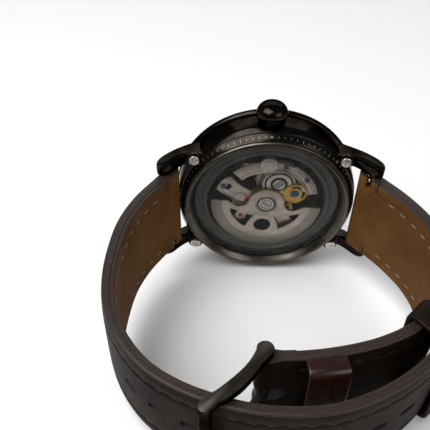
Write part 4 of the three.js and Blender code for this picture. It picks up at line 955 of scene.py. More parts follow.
def rotor():
    outline = (arc(ROTOR_R, 180, 360) + bezier([(9.0, 0.05), (7.6, -1.5), (6.2, -1.45), (4.7, -1.3),
        (4.2, 0.6)]) + arc(4.3, 10, 170) + bezier([(-4.2, 0.6), (-4.7, -1.3), (-6.2, -1.45),
        (-7.6, -1.5), (-9.0, 0.05)]))
    windows = [circle(2.05, (0, -6.75)), circle(2.5)]
    for side in (1, -1):
        windows.append([(side * x, y) for x, y in bezier([(8.5, -2.1), (7.9, -5.6), (4.05, -7.85),
            (3.6, -5.2), (2.25, -3.9), (5.2, -3.6), (8.5, -2.1)])[:-1]])
    web = outline_mesh(outline, windows, -3.95, -3.6, 0.06)
    rim = with_material(slab(sector(10.5, ROTOR_R - 0.02, 180.3, 359.7), -4.02, -3.34, 0.08), 1)
    bead = slab(sector(9.95, 10.15, 181, 359), -3.99, -3.9, 0.03)
    collar = turned_part([(2.52, -3.7), (2.52, -4.02), (2.8, -4.02), (2.86, -3.7)], 120)
    turn = place(turn=ROTOR_ANGLE)
    add_piece("rotor_weight", joined(web, rim, bead, collar), [NICKEL, ROTOR_RIM], "rotor", local=turn)
    toothed = outline_mesh(gear(42, ROTOR_MODULE, -ROTOR_ANGLE), [circle(2.5)], -3.6,
        -3.24, 0.03)
    add_detail("rotor_gear", toothed, GILT, "rotor", local=turn)
    race = turned_part([(0, -3.98), (1.78, -3.98), (1.86, -3.94), (1.86, -3.74), (2.2, -3.74),
        (2.2, -3.9), (2.36, -3.94), (2.36, -3.22), (1.9, -3.22), (1.9, -2.85), (0.55, -2.85),
        (0.55, -3.5), (0, -3.5)], 120)
    cuts = [outline_mesh(circle(1.3), [circle(1.16)], -4.4, -3.86, 0)]
    cuts.append(joined((box_bm((-1.0, -0.13, -4.4), (1.0, 0.13, -3.84)), place(turn=-62))))
    add_piece("rotor_screw", boolean(race, [with_material(cut, 1) for cut in cuts]),
        [STEEL_TURNED, GROOVE], "rotor_bearing")
    groove = outline_mesh(circle(2.2), [circle(1.86)], -3.77, -3.7, 0)
    add_detail("rotor_bearing_groove", groove, GROOVE, "rotor_bearing")
    phase = tooth_phase("reduction_wheel", REDUCTION)
    wheel = outline_mesh(gear(28, ROTOR_MODULE, phase),
        [sector(1.75, 2.42, -22, 128)], -3.46, -3.24, 0.03)
    boss = turned_part([(0, -3.44), (1.7, -3.44), (1.75, -3.5), (1.62, -3.55), (1.2, -3.55),
        (1.16, -3.49), (0, -3.49)], 80)
    stub = turned_part(band(0, 0.5, -3.4, -2.8), 32)
    add_piece("reduction_wheel_web", joined(wheel, boss, stub), GILT, "reduction_wheel",
        local=place(REDUCTION))
    head = turned_part([(0, -3.47), (1.04, -3.47), (1.04, -3.54), (0.95, -3.57), (0, -3.57)], 60)
    slot = box_bm((-1.5, -0.1, -4.2), (1.5, 0.1, -3.52))
    add_detail("reduction_wheel_screw", boolean(head, [slot]), BLUED, "reduction_wheel",
        local=place(REDUCTION, 70), slot="blued")


# ---------------------------------------------------------------- dial side
def hand_outline(length, width):
    outline = bezier([(-0.35, 0), (-width * 0.8, length * 0.3), (-width, length * 0.62),
        (-width * 0.6, length * 0.85), (0, length), (width * 0.6, length * 0.85),
        (width, length * 0.62), (width * 0.8, length * 0.3), (0.35, 0)], 6)
    slot = [(0, length * 0.3), (width * 0.5, length * 0.62), (0, length * 0.85),
        (-width * 0.5, length * 0.62)]
    return outline, slot


def hand_direction(node):
    """Where the CAD hand's tip points, in degrees."""
    return tooth_phase(node, DIAL_AXIS) - 90


def hands():
    motion, hour_module = 2 * 2.4 / 32, 2 * 2.4 / 40
    canon = joined(turned_part(band(0.34, 0.6, 0.55, 3.1), 48), outline_mesh(gear(8, motion,
        tooth_phase("cannon_pinion", DIAL_AXIS)), [circle(0.45)], 0.55, 0.86, 0.02))
    add_piece("cannon_pinion_tube", canon, STEEL, "cannon_pinion")
    minute = joined(outline_mesh(gear(24, motion, tooth_phase("minute_wheel", MINUTE_WHEEL)),
        arms(4, 0.55, 1.2, 0.4), 1.32, 1.44, 0.015), slab(gear(8, hour_module,
        tooth_phase("minute_wheel", MINUTE_WHEEL, 1.5, 1.8)), 1.4, 1.75, 0.015))
    add_piece("minute_wheel_web", minute, GILT, "minute_wheel", local=place(MINUTE_WHEEL))
    hour = joined(outline_mesh(gear(32, hour_module, tooth_phase("hour_wheel", DIAL_AXIS)),
        [circle(0.75)], 1.52, 1.66, 0.015), turned_part(band(0.7, 1.0, 1.52, 2.5), 48))
    add_piece("hour_wheel_web", hour, GILT, "hour_wheel")
    for node, length, width, boss, bore, z0, z1 in (("hour_hand", 9.2, 0.75, 1.4, 1.02, 2.3, 2.45),
            ("minute_hand", 13.2, 0.6, 1.1, 0.62, 2.72, 2.87)):
        outline, slot = hand_outline(length, width)
        blade = outline_mesh(outline, [slot], z0, z1, 0.04)
        ring = slab(circle(boss), z0, z1, 0.04)
        made = boolean(boolean(blade, [ring], "UNION"), [hole(DIAL_AXIS, bore, -9, 9)])
        turn = place(turn=hand_direction(node))
        add_piece(f"{node}_blade", made, HAND_STEEL, node, local=turn)
        inlay = slab(slot, z0 + 0.03, z1 - 0.03, 0)
        add_detail(f"{node}_inlay", inlay, LUME, node, local=turn)
    needle = slab([(-0.3, -3.6), (0.3, -3.6), (0.16, -1.2), (0.1, 14.2), (-0.1, 14.2), (-0.16, -1.2)],
        3.3, 3.42, 0.03)
    cap = turned_part([(0.2, 3.28), (0.75, 3.28), (0.75, 3.46), (0.6, 3.55), (0, 3.57), (0, 3.54),
        (0.2, 3.5)], 48)
    add_piece("seconds_hand_blade", joined(needle, cap), BLUED, "seconds_hand",
        local=place(turn=hand_direction("seconds_hand")))


def dial():
    ring = outline_mesh(circle(16.1), [circle(12.6)], 1.3, 1.7, 0.05)
    track = outline_mesh(circle(15.95), [circle(15.75)], 1.69, 1.74, 0.01)
    add_piece("dial_chapter_ring", joined(ring, track), DIAL, "dial_ring")
    markers, inlays = [], []
    for hour in range(12):
        turn = Matrix.Rotation(TAU * hour / 12, 4, "Z")
        markers.append((bevelled(box_bm((13.0, -0.36, 1.6), (15.4, 0.36, 1.98)), 0.09, 2), turn))
        inlays.append((box_bm((13.3, -0.14, 1.95), (15.1, 0.14, 2.0)), turn))
    add_detail("hour_markers", joined(*markers), HAND_STEEL, "dial_ring", slot="hands")
    add_detail("hour_marker_inlays", joined(*inlays), LUME, "dial_ring", slot="hands")


# ---------------------------------------------------------------- strap
class Route:
    """A smooth curve through (y, z) points, measured by its length, with an outward direction."""

    def __init__(self, points, outwards):
        first = [2 * a - b for a, b in zip(points[0], points[1])]
        last = [2 * a - b for a, b in zip(points[-1], points[-2])]
        knots = [Vector(p) for p in (first, *points, last)]
        self.points = [knots[1]]
        for a, b, c, d in zip(knots, knots[1:], knots[2:], knots[3:]):
            self.points += [self.between(a, b, c, d, i / 40) for i in range(1, 41)]
        self.lengths = [0.0]
        for p, q in zip(self.points, self.points[1:]):
            self.lengths.append(self.lengths[-1] + (q - p).length)
        self.length = self.lengths[-1]
        self.outwards = outwards

    @staticmethod
    def between(a, b, c, d, t):
        """Centripetal Catmull-Rom, between b and c."""
        u = [math.sqrt((q - p).length) for p, q in ((a, b), (b, c), (c, d))]
        m1 = ((b - a) / u[0] - (c - a) / (u[0] + u[1]) + (c - b) / u[1]) * u[1]
        m2 = ((c - b) / u[1] - (d - b) / (u[1] + u[2]) + (d - c) / u[2]) * u[1]
        return (b * (2 * t**3 - 3 * t**2 + 1) + m1 * (t**3 - 2 * t**2 + t) + c * (3 * t**2 - 2 * t**3)
            + m2 * (t**3 - t**2))

    def centre(self, s):
        inside = min(max(s, 0.0), self.length - 1e-6)
        i = bisect.bisect_right(self.lengths, inside) - 1
        i = min(i, len(self.points) - 2)
        p, q = self.points[i], self.points[i + 1]
        step = (q - p).normalized()
        return p + step * (s - self.lengths[i])

    def frame(self, s):
        along = (self.centre(s + 0.25) - self.centre(s - 0.25)).normalized()
        return self.centre(s), along, Vector((along.y, -along.x)) * self.outwards

    def point(self, s, x, offset):
        p, _, out = self.frame(s)
        return Vector((x, p.x + out.x * offset, p.y + out.y * offset))


LONG = Route([(-22.2, -4.7), (-24.9, -9.0), (-28.3, -14.6), (-30.9, -21.4), (-32.0, -29.0),
    (-32.1, -36.2), (-30.9, -43.0), (-28.1, -49.0), (-23.6, -54.6), (-18.2, -58.3), (-12.2, -60.8),
    (-5.8, -62.5), (1.0, -63.0), (8.0, -62.3), (15.0, -59.7), (21.2, -56.0), (26.3, -51.6),
    (30.4, -46.4), (33.2, -41.0), (35.0, -35.4)], 1)
SHORT = Route([(22.2, -4.7), (25.4, -8.6), (29.3, -14.2), (32.4, -20.8), (33.6, -28.0), (32.2, -35.4),
    (28.7, -41.6), (23.8, -46.2), (17.6, -49.4), (10.8, -51.4), (4.0, -52.5), (-3.3, -52.9)], -1)
LINING_T = 0.9
SEAM_GAP = 0.03
NOSE = 1.8
FOLD_END = 3.6
LONG_END = LONG.length - 0.5
TIP_LENGTH = 9.0
TIP_START = LONG_END - TIP_LENGTH
SHORT_END = SHORT.length - 0.3
LINING_STOP = 5.2
STITCH_INSET = 3.0
SEWN_FROM = 5.4
LAYER_STEP = 0.6
BAR_ROOM_R = 0.85
HOLE_COUNT = 9
HOLE_PITCH = 6.5
FIRST_HOLE = 51.15
HOLE_R = 0.95
HOLE_HALF_LENGTH = 1.85
FACE, EDGE, HOLE, BACK = 0, 1, 2, 3


def lerp(a, b, t):
    return a + (b - a) * t


def oval(t):
    """Height of a unit arch at t from its middle."""
    return math.sqrt(max(0.0, 1 - t * t))


def strap_half(s):
    return lerp(11.0, 10.0, smoothstep(s, 8, 62))


def long_half(s):
    into = max(0.0, s - TIP_START) / (TIP_LENGTH + 0.2)
    return strap_half(s) * oval(into)


def padding(s):
    return lerp(2.9, 1.4, smoothstep(s, 4, 58))


def inner_face(s):
    return -(padding(s) + LINING_T) / 2


def seam(s):
    return inner_face(s) + LINING_T


def outer_face(s):
    return (padding(s) + LINING_T) / 2


def stations(start, stop, step):
    count = max(1, round((stop - start) / step))
    return [start + (stop - start) * i / count for i in range(count + 1)]


def stitch_x(s, half):
    """How far from the middle the stitching runs; round the tip it follows the edge."""
    if half is long_half and s > TIP_START:
        into = (s - TIP_START) / (TIP_LENGTH - STITCH_INSET)
        return (strap_half(s) - STITCH_INSET) * oval(into)
    return half(s) - STITCH_INSET


def layer_section(w, inset, low, high, corner_low, corner_high, crown, groove, upwards=True):
    """Section of one leather layer as (x, offset) points: crowned face, sewn groove and round corners."""
    edge = w - corner_high
    spots = [(inset - 0.5) * part for part in (0.0, 0.2, 0.4, 0.6, 0.8, 0.93)]
    spots += [inset + away for away in (-0.5, -0.3, -0.12, 0.12, 0.3, 0.5)] + [lerp(inset + 0.5, edge, 0.5)]
    face = []
    for i, spot in enumerate(spots):
        x = min(max(spot, edge * 0.02 * i), edge * (0.72 + 0.02 * i))
        dip = groove * math.sqrt(max(0.0, 1 - abs(x - inset) / 0.5))
        face.append((x, high - crown * (x / max(w, 0.1)) ** 4 - dip))
    shoulder = high - crown
    for i in range(6):
        a = math.radians(90 * i / 5)
        face.append((edge + corner_high * math.sin(a), shoulder - corner_high * (1 - math.cos(a))))
    for i in range(5):
        a = math.radians(90 * i / 4)
        face.append((w - corner_low * (1 - math.cos(a)), low + corner_low * (1 - math.sin(a))))
    face.append((w * 0.45, low))
    half = face if upwards else [(x, low + high - z) for x, z in face]
    mirrored = [(-x, z) for x, z in half[1:]]
    return half + mirrored[::-1]


FACE_POINTS = 14  # points of half a section that lie on the face, before the corner turns down
UNDERSIDE = 23  # from this point on, half a section lies on the underside


def loft(sections, lined=0):
    """A closed body through sections that have the same number of points. Sides get the edge material.

    The underside of the first sections, where the leather is folded back, is faced with lining.
    """
    bm = bmesh.new()
    rings = [[bm.verts.new(p) for p in section] for section in sections]
    count = len(rings[0])
    for k, (a, b) in enumerate(zip(rings, rings[1:])):
        for i in range(count):
            j = (i + 1) % count
            made = bm.faces.new((a[i], a[j], b[j], b[i]))
            from_middle = min(i, count - 1 - i)
            made.material_index = FACE if from_middle < FACE_POINTS else EDGE
            if k < lined and from_middle >= UNDERSIDE:
                made.material_index = BACK
    for ring in (rings[0][::-1], rings[-1]):
        bm.faces.new(ring).material_index = EDGE
    return bm


def leather_layer(route, where, half, low, high, crown, groove, corners=(0.12, 0.5), upwards=True,
        trim=0.0, lined=0):
    """One layer of a strap half: its sections along the route, lofted into a body."""
    sections = []
    for s in where:
        w = max(0.6, half(s) - trim)
        bottom, top = low(s), high(s)
        thick = top - bottom
        corner = min(corners[1], thick * 0.45, w * 0.4)
        flat = layer_section(w, min(stitch_x(s, half), w - 0.9), bottom, top,
            min(corners[0], thick * 0.3), corner, min(crown(s), thick * 0.4), groove(s), upwards)
        sections.append([route.point(s, x, offset) for x, offset in flat])
    return loft(sections, lined)


def sewing_line(half, start, stop, round_tip=False):
    """The (s, x) points of a line of stitches: down one edge, and back up the other."""
    there = [(s, stitch_x(s, half)) for s in stations(start, stop, 0.25)]
    if not round_tip:
        return [there, [(s, -x) for s, x in there]]
    return [there + [(s, -x) for s, x in there[::-1]]]


def stitch(points, r):
    """One stitch: a short thread bowed along its points, thin at the ends."""
    sections = []
    count = len(points) - 1
    for i, (p, side, out) in enumerate(points):
        t = 2 * i / count - 1
        thick = r * math.sqrt(1 - (0.92 * t) ** 4)
        centre = p + out * 0.16 * (1 - t * t)
        sections.append([centre + side * thick * math.cos(a) + out * thick * 0.8 * math.sin(a)
            for a in (TAU * k / 8 for k in range(8))])
    return sections


def stitches(name, route, lines, surface, sign, material, slot, pitch=3.2, length=2.1, r=0.17):
    """Stitches of even length and spacing along lines of (s, x) points on a strap surface."""
    bm = bmesh.new()
    for line in lines:
        walked = [0.0]
        for (s0, x0), (s1, x1) in zip(line, line[1:]):
            walked.append(walked[-1] + math.hypot(s1 - s0, x1 - x0))

        def at(distance):
            i = min(max(bisect.bisect_right(walked, distance) - 1, 0), len(line) - 2)
            t = (distance - walked[i]) / max(1e-9, walked[i + 1] - walked[i])
            return lerp(line[i][0], line[i + 1][0], t), lerp(line[i][1], line[i + 1][1], t)

        count = int((walked[-1] - 0.6) / pitch)
        spare = (walked[-1] - count * pitch) / 2
        for n in range(count):
            middle = spare + pitch * (n + 0.5)
            points = []
            for k in range(7):
                distance = middle + length * (k / 6 - 0.5)
                s, x = at(distance)
                s1, x1 = at(distance + 0.1)
                _, _, out2 = route.frame(s)
                out = Vector((0, out2.x, out2.y)) * sign
                p = route.point(s, x, surface(s, x))
                q = route.point(s1, x1, surface(s1, x1))
                side = (q - p).normalized().cross(out).normalized()
                points.append((p - out * 0.1, side, out))
            rings = [[bm.verts.new(v) for v in ring] for ring in stitch(points, r)]
            for a, b in zip(rings, rings[1:]):
                for i in range(8):
                    bm.faces.new((a[i], a[(i + 1) % 8], b[(i + 1) % 8], b[i]))
            bm.faces.new(rings[0][::-1])
            bm.faces.new(rings[-1])
    return add_detail(name, bm, material, body="watch", slot=slot, angle=60)


def nosed(start, stop, step, at_start, at_end):
    """Stations with a round nose before the first and, if asked, after the last."""
    nose = [start - at_start * math.cos(math.radians(a)) for a in (12, 25, 40, 55, 70, 82)]
    tail = [stop + at_end * math.cos(math.radians(a)) for a in (82, 70, 55, 40, 25, 12)] if at_end else []
    return nose + stations(start, stop, step) + tail


def nose_scale(s, start, stop, at_start, at_end):
    """How far a rounded end has closed at this station: 1 along the strap, 0 at the very end."""
    if s < start:
        return oval((start - s) / at_start)
    if at_end and s > stop:
        return oval((s - stop) / at_end)
    return 1.0


def surface_of(crown, groove):
    def at(s, x):
        return outer_face(s) - crown(s) * (abs(x) / strap_half(s)) ** 4 - groove(s)
    return at


def strap_crown(s):
    return lerp(0.75, 0.2, smoothstep(s, 6, 50))


def strap_groove(s):
    return 0.2 * smoothstep(s, 3.5, 5.0)


def spring_bar_room(end):
    """What a lug end is hollowed by: the bar's bore and the notch of its release knob."""
    y, z = end * LUG_BAR[0], LUG_BAR[1]
    bore = with_material(joined(rod(BAR_ROOM_R, -20, 20, y, z)), HOLE)
    notch = with_material(bevelled(box_bm((8.0, y - 0.75, z - 3.2), (12.5, y + 0.75, z)), 0.2, 2), BACK)
    if end < 0:
        notch.transform(Matrix.Rotation(math.pi, 4, "Z") @ Matrix.Translation((0, 2 * LUG_BAR[0], 0)))
    return [bore, notch]


def hole_cutters():
    cutters = []
    straight = HOLE_HALF_LENGTH - HOLE_R
    outline = arc(HOLE_R, 0, 180, (0, straight), 9) + arc(HOLE_R, 180, 360, (0, -straight), 9)
    for i in range(HOLE_COUNT):
        p, along, out = LONG.frame(FIRST_HOLE + HOLE_PITCH * i)
        basis = Matrix(((1, 0, 0, 0), (0, along.x, out.x, p.x), (0, along.y, out.y, p.y), (0, 0, 0, 1)))
        tool = slab(outline, -4, 4, 0)
        tool.transform(basis)
        cutters.append(with_material(tool, HOLE))
    return cutters


FOLD_RINGS = len(nosed(0.0, FOLD_END, LAYER_STEP, NOSE, 0)) - 1
SLIT_AT = 4.4


def edge_slits(name, route):
    """Dark slabs at both edges where the leather turned back over the spring bar ends: painted shade that stands
    for the nicks there.
    """
    bm = bmesh.new()
    w = strap_half(SLIT_AT)
    low, high = inner_face(SLIT_AT), outer_face(SLIT_AT) - strap_crown(SLIT_AT)
    for side in (1, -1):
        for x0, x1, z0, z1 in ((w - 2.4, w + 0.02, low - 0.04, low + 0.1), (w - 0.1, w + 0.035, low
                - 0.04, high - 0.5)):
            corners = []
            for s in (SLIT_AT - 0.22, SLIT_AT + 0.22):
                for x, z in ((x0, z0), (x1, z0), (x1, z1), (x0, z1)):
                    corners.append(bm.verts.new(route.point(s, side * x, z)))
            for face in ((0, 1, 2, 3), (4, 5, 6, 7), (0, 1, 5, 4), (1, 2, 6, 5), (2, 3, 7, 6), (3, 0, 4, 7)):
                bm.faces.new([corners[i] for i in face])
    add_detail(name, bevelled(bm, 0.05, 1), HOLE_WALL_AND_SLIT_SHADE, body="watch", slot="leather")


def strap_outer(label, solid):
    add_piece(f"strap_{label}_face", solid, [LEATHER, EDGE_PAINT, HOLE_WALL_AND_SLIT_SHADE, LINING],
        f"strap_{label}_leather")


def strap_lining(route, where, half):
    return leather_layer(route, where, half, inner_face, seam, lambda s: 0.06, lambda s: 0.08,
                         (0.05, 0.25), False, 0.08)


def sewn(label, route, front, back, groove):
    """The stitching of one strap half: dark thread outside, pale and shorter stitches on the lining."""
    stitches(f"stitching_{label}_face", route, front, surface_of(strap_crown, groove), 1, THREAD_DARK,
        "leather")
    stitches(f"stitching_{label}_back", route, back, lambda s, x: inner_face(s) + 0.05, -1, THREAD_PALE,
             "lining", 3.6, 1.7, 0.13)


def long_strap():
    start, stop = 0.0, LONG_END
    where = (nosed(start, FOLD_END, LAYER_STEP, NOSE, 0) + stations(FOLD_END + 0.02, TIP_START, LAYER_STEP)
        + [LONG_END - TIP_LENGTH * (1 - math.sin(math.radians(a))) for a in range(4, 92, 4)])

    def low(s):
        scale = nose_scale(s, start, stop, NOSE, 0)
        return inner_face(0) * scale if s <= FOLD_END else seam(s) + SEAM_GAP

    def high(s):
        return outer_face(s) * nose_scale(s, start, stop, NOSE, 0)

    outer = leather_layer(LONG, where, long_half, low, high, strap_crown, strap_groove, lined=FOLD_RINGS)
    outer = boolean(outer, spring_bar_room(-1) + hole_cutters())
    strap_outer("long", outer)
    where = (stations(FOLD_END + 0.04, TIP_START, LAYER_STEP) + [LONG_END - TIP_LENGTH
        * (1 - math.sin(math.radians(a))) for a in range(4, 90, 4)])
    lining = strap_lining(LONG, where, long_half)
    edge_slits("strap_long_slits", LONG)
    add_piece("strap_long_back", boolean(lining, hole_cutters()), [LINING, EDGE_PAINT, HOLE_WALL_AND_SLIT_SHADE],
        "strap_long_lining")
    line = sewing_line(long_half, SEWN_FROM, LONG_END - STITCH_INSET - 0.02, True)
    sewn("long", LONG, line, line, strap_groove)


def short_strap():
    start, stop, tail = 0.0, SHORT.length, 1.6
    fold = SHORT_END - LINING_STOP
    where = (nosed(start, FOLD_END, LAYER_STEP, NOSE, 0) + stations(FOLD_END + 0.02, fold, LAYER_STEP)
        + nosed(fold + 0.02, stop, 0.5, 0.0, tail)[6:])

    def nose(s):
        return nose_scale(s, start, stop, NOSE, tail)

    def swell(s):
        return 1 + 0.4 * smoothstep(s, stop - 3.5, stop - 0.5)

    def low(s):
        if s <= FOLD_END:
            return inner_face(0) * nose(s)
        if s > fold + 0.01:
            return inner_face(s) * swell(s) * nose(s)
        return seam(s) + SEAM_GAP

    def high(s):
        return outer_face(s) * swell(s) * nose(s)

    def groove(s):
        return strap_groove(s) * (1 - smoothstep(s, stop - 3, stop - 1.5))

    outer = leather_layer(SHORT, where, strap_half, low, high, strap_crown, groove, lined=FOLD_RINGS)
    pin_y, pin_z = SHORT.centre(stop)
    bore = joined(rod(BAR_ROOM_R, -20, 20, pin_y, pin_z))
    slot = slab([(-1.75, -3.5), (1.75, -3.5)] + arc(1.75, 0, 180, (0, 2.45), 9), -5, 5, 0)
    slot.transform(Matrix.Translation((0, pin_y, pin_z)))
    outer = boolean(outer, spring_bar_room(1) + [with_material(b, HOLE) for b in (bore, slot)])
    strap_outer("short", outer)
    lining = strap_lining(SHORT, stations(FOLD_END + 0.04, fold, LAYER_STEP), strap_half)
    edge_slits("strap_short_slits", SHORT)
    add_piece("strap_short_back", lining, [LINING, EDGE_PAINT], "strap_short_lining")
    front = sewing_line(strap_half, SEWN_FROM, SHORT_END - 3.2)
    sewn("short", SHORT, front, sewing_line(strap_half, SEWN_FROM, fold - 0.4), groove)


def loop_path(half, low, high, corner, closed=True):
    """Centre line of a keeper: a rounded rectangle in (x, offset), or an arch open at the bottom."""
    path = []
    corners = [(half, high, 90, 0), (half, low, 0, -90), (-half, low, -90, -180), (-half, high, 180, 90)]
    if not closed:
        path.append((half, low))
        for x, start in ((half, 0), (-half, 90)):
            inner = (x - math.copysign(corner, x), high - corner)
            path += arc(corner, start, start + 90, inner, 10)
        path.append((-half, low))
        return path
    for x, z, a0, a1 in corners:
        inner = (x - math.copysign(corner, x), z - corner if z == high else z + corner)
        path += arc(corner, a0, a1, inner, 10)
    return path


def keeper_band(path, closed, width, thick, to_point):
    """A strip of leather with rounded edges, bent along the path. to_point maps (along, x, offset)."""
    section = []
    r = thick * 0.38
    for cx, cz, a0 in ((1, 1, 0), (-1, 1, 90), (-1, -1, 180), (1, -1, 270)):
        for i in range(5):
            a = math.radians(a0 + 90 * i / 4)
            section.append((cx * (width / 2 - r) + r * math.cos(a), cz * (thick / 2 - r) + r * math.sin(a)))
    bm = bmesh.new()
    rings = []
    count = len(path)
    for k, (x, z) in enumerate(path):
        before = path[(k - 1) % count] if closed or k else path[k]
        after = path[(k + 1) % count] if closed or k < count - 1 else path[k]
        way = Vector((after[0] - before[0], after[1] - before[1])).normalized()
        normal = Vector((way.y, -way.x))
        rings.append([bm.verts.new(to_point(along, x + normal.x * up, z + normal.y * up)) for along,
            up in section])
    pairs = list(zip(rings, rings[1:])) + ([(rings[-1], rings[0])] if closed else [])
    for a, b in pairs:
        for i in range(len(section)):
            j = (i + 1) % len(section)
            made = bm.faces.new((a[i], a[j], b[j], b[i]))
            made.material_index = EDGE if i % 10 in (9, 19, 0, 1) and i not in (9, 10) else FACE
    if not closed:
        bm.faces.new(rings[0][::-1])
        bm.faces.new(rings[-1])
    return bm


def densified(path, step=0.7, closed=True):
    made = []
    pairs = list(zip(path, path[1:])) + ([(path[-1], path[0])] if closed else [])
    for (x0, z0), (x1, z1) in pairs:
        count = max(1, round(math.hypot(x1 - x0, z1 - z0) / step))
        made += [(lerp(x0, x1, i / count), lerp(z0, z1, i / count)) for i in range(count)]
    return made if closed else made + [path[-1]]


FIXED_KEEPER_AT = SHORT_END - 10.1
FIXED_KEEPER_WIDTH = 7.0
FREE_KEEPER_WIDTH = 6.7
FREE_KEEPER_LOOP = (17.5, 27.1)  # inner and outer radius about the joint it slides round
FREE_KEEPER_ANGLE = -45


def keepers():
    face = outer_face(FIXED_KEEPER_AT)

    def on_strap(along, x, offset):
        return SHORT.point(FIXED_KEEPER_AT + along, x, offset)

    path = densified(loop_path(9.45, face - 0.75, face + 2.75, 1.3, False), closed=False)
    add_piece("fixed_keeper_loop", keeper_band(path, False, FIXED_KEEPER_WIDTH, 0.9, on_strap),
        [KEEPER, EDGE_PAINT], "fixed_keeper")
    hinge = TO_WATCH @ Vector(JOINTS["free_keeper_slide"]["pos_m"])
    reach = sum(FREE_KEEPER_LOOP) / 2

    def on_arc(along, x, radius):
        a = math.radians(FREE_KEEPER_ANGLE) + along / reach
        return Vector((x, hinge.y + radius * math.cos(a), hinge.z + radius * math.sin(a)))

    path = densified(loop_path(11.2, *FREE_KEEPER_LOOP, 1.4))
    add_piece("free_keeper_loop", keeper_band(path, True, FREE_KEEPER_WIDTH, 1.0, on_arc),
        [LEATHER, EDGE_PAINT], "free_keeper")


# ---------------------------------------------------------------- spring bars and buckle
def spring_bars():
    for end, label in ((1, "12"), (-1, "6")):
        local = place((0, end * LUG_BAR[0]), 0 if end > 0 else 180, LUG_BAR[1])
        profile = [(0, -12.3), (0.28, -12.3), (0.4, -12.1), (0.4, -10.9), (0.75, -10.9), (0.75, -10.2),
            (0.62, -10.1), (0.62, -9.6), (0.75, -9.5), (0.75, 8.1), (0.48, 8.1), (0.48, 5.2), (0, 5.2)]
        bar = joined((lathe(rounded(profile, 0.05), 40), TO_X))
        add_piece(f"spring_bar_{label}_sleeve", bar, STEEL, f"spring_bar_{label}", local=local)
        pin = joined((lathe(rounded([(0, 7.2), (0.38, 7.2), (0.38, 9.75), (0.75, 9.8), (0.75, 10.75),
            (0.4, 10.8), (0.4, 12.1), (0.28, 12.3), (0, 12.3)], 0.05), 40), TO_X))
        knob = joined((lathe(rounded([(0, -2.35), (0.34, -2.35), (0.42, -2.2), (0.42, -1.7),
            (0.3, -1.6), (0.3, -0.5), (0, -0.5)], 0.05), 32), place((10.25, 0))))
        add_piece(f"release_knob_{label}_pin", joined(pin, knob), STEEL, f"release_knob_{label}",
            local=local)


CROSSBAR_AT = (-13.2, -63.5)
BUCKLE_ARMS = (10.6, -12.4)
BUCKLE_ARM_WIDTH = 1.8


def buckle():
    pin = TO_WATCH @ Vector(JOINTS["buckle_frame_swing"]["pos_m"])
    reach = Vector((CROSSBAR_AT[0] - pin.y, CROSSBAR_AT[1] - pin.z))
    length = reach.length
    local = Matrix.Translation((0, pin.y, pin.z)) @ Matrix.Rotation(math.atan2(reach.y, reach.x), 4, "X")
    side = (arc(1.55, 99, 288, (0, 0), 6) + bezier([(1.3, -0.95), (3.2, -0.3), (5.2, -0.2),
        (8.2, -0.15), (11.4, -0.6), (12.6, -0.95), (13.4, -1.0)]) + arc(1.2, -70, 88, (length, 0), 8)
        + bezier([(12.4, 1.2), (10.4, 2.0), (7.9, 2.15), (5.0, 2.1), (2.6, 1.6), (1.2, 1.55),
        (0.6, 1.58)]))
    arms_bm = [upright(slab(side, x, x + BUCKLE_ARM_WIDTH, 0.22)) for x in BUCKLE_ARMS]
    bar = joined(rod(1.2, -12.2, 12.2, length, 0, 0.2, 48))
    solid = boolean(arms_bm[0], [arms_bm[1], bar], "UNION")
    dent = bevelled(box_bm((-0.95, length - 0.6, 0.98), (0.95, length + 1.4, 3)), 0.12, 2)
    solid = boolean(solid, [joined(rod(0.46, -11.9, 11.9)), dent])
    # The arms' flat faces, which look along X, get the brushed steel. The edges and the bar keep the darker
    # polished steel: partly their polished finish, partly painted shade, as they turn away from the lamps.
    add_piece("buckle_frame_bow", facing(solid, 0, 1), [DARK_STEEL, DARK_BRUSHED], "buckle_frame",
        local=local, angle=30)
    blade = bezier([(0, 0.1), (length * 0.25, 0.4), (length * 0.55, 1.0), (length * 0.85, 1.3),
        (length + 0.2, 1.3), (length + 0.8, 1.25), (length + 1.0, 1.2), (length + 1.1, 1.5),
        (length + 0.95, 1.7), (length * 0.95, 2.25), (length * 0.8, 2.2), (length * 0.5, 2.1),
        (length * 0.3, 1.6), (length * 0.1, 1.2), (0, 1.3)], 6)
    prong = upright(slab(blade, -0.65, 0.65, 0.18))
    eye = joined(rod(1.35, -1.45, 1.45, chamfer=0.2))
    tongue = boolean(boolean(eye, [prong], "UNION"), [joined(rod(0.8, -3, 3))])
    add_piece("buckle_tongue_prong", tongue, DARK_BRUSHED, "buckle_tongue", local=local, angle=30)
    profile = [(0, -11.7), (0.42, -11.7), (0.42, -10.4), (0.75, -10.4), (0.75, 10.4), (0.42, 10.4),
        (0.42, 11.7), (0, 11.7)]
    add_piece("buckle_bar_rod", joined((lathe(rounded(profile, 0.06), 40), TO_X)), STEEL,
        "buckle_spring_bar", local=local)


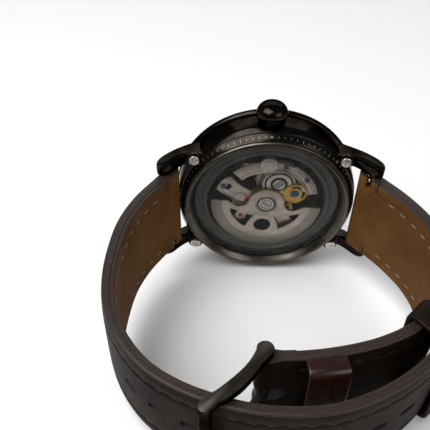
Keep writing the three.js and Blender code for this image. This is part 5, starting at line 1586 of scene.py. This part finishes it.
# ---------------------------------------------------------------- floor, light and camera
FLOOR_SIZE = 6.0
SENSOR_WIDTH = 36.0
LENS = 51.65
WORLD_STRENGTH = 0.22
FLOOR_GAP = 0.0002
CAMERA_AT = Vector((-0.012857, -0.095822, 0.103433))
CAMERA_RIGHT = Vector((0.99990, 0.01013, 0.00980))
CAMERA_UP = Vector((-0.01386, 0.58179, 0.81321))


def floor():
    n = Nodes("studio_floor")
    mottle = n.noise(3.0, 3)
    material = n.finish(n.tones(mottle, (0.80, 0.80, 0.80), (0.83, 0.83, 0.83)), 0.6)
    bm = bmesh.new()
    bmesh.ops.create_grid(bm, x_segments=8, y_segments=8, size=FLOOR_SIZE / 2)
    obj = linked("studio_floor", mesh_of(bm, "floor"))
    obj.data.materials.append(material)
    obj.location = (0, 0, CAD_BOX[0][2] - FLOOR_GAP)


def softbox(name, at, target, size, watts, colour=(1, 1, 1)):
    light = bpy.data.lights.new(name, "AREA")
    light.shape = "RECTANGLE"
    light.size, light.size_y = size
    light.energy = watts
    light.color = colour
    obj = linked(name, light)
    obj.location = at
    obj.rotation_euler = (Vector(target) - Vector(at)).to_track_quat("-Z", "Y").to_euler()


def lights():
    world = bpy.data.worlds.new("studio")
    world.use_nodes = True
    background = world.node_tree.nodes["Background"]
    background.inputs["Color"].default_value = (1, 1, 1, 1)
    background.inputs["Strength"].default_value = WORLD_STRENGTH
    bpy.context.scene.world = world
    middle = (0, 0, 0.02)
    softbox("key_light", (-0.3, -0.2, 0.6), middle, (0.6, 0.6), 6.5)
    softbox("fill_light", (0.5, -0.45, 0.35), middle, (0.5, 0.4), 1.5)
    softbox("back_light", (0.05, 0.6, 0.45), middle, (0.8, 0.4), 1.4)


def camera():
    data = bpy.data.cameras.new("camera")
    data.sensor_width = SENSOR_WIDTH
    data.lens = LENS
    data.clip_start = 0.005
    obj = linked("camera", data)
    back = CAMERA_RIGHT.cross(CAMERA_UP)
    turn = Matrix((CAMERA_RIGHT, CAMERA_UP, back)).transposed().to_4x4()
    obj.matrix_world = Matrix.Translation(CAMERA_AT) @ turn
    bpy.context.scene.camera = obj


bpy.context.scene.view_settings.view_transform = "Standard"
camera()
floor()
lights()
case_middle()
case_back()
case_front()
crown()
holder()
mainplate()
bridges()
going_train()
winding_work()
rotor()
hands()
dial()
long_strap()
short_strap()
keepers()
spring_bars()
buckle()
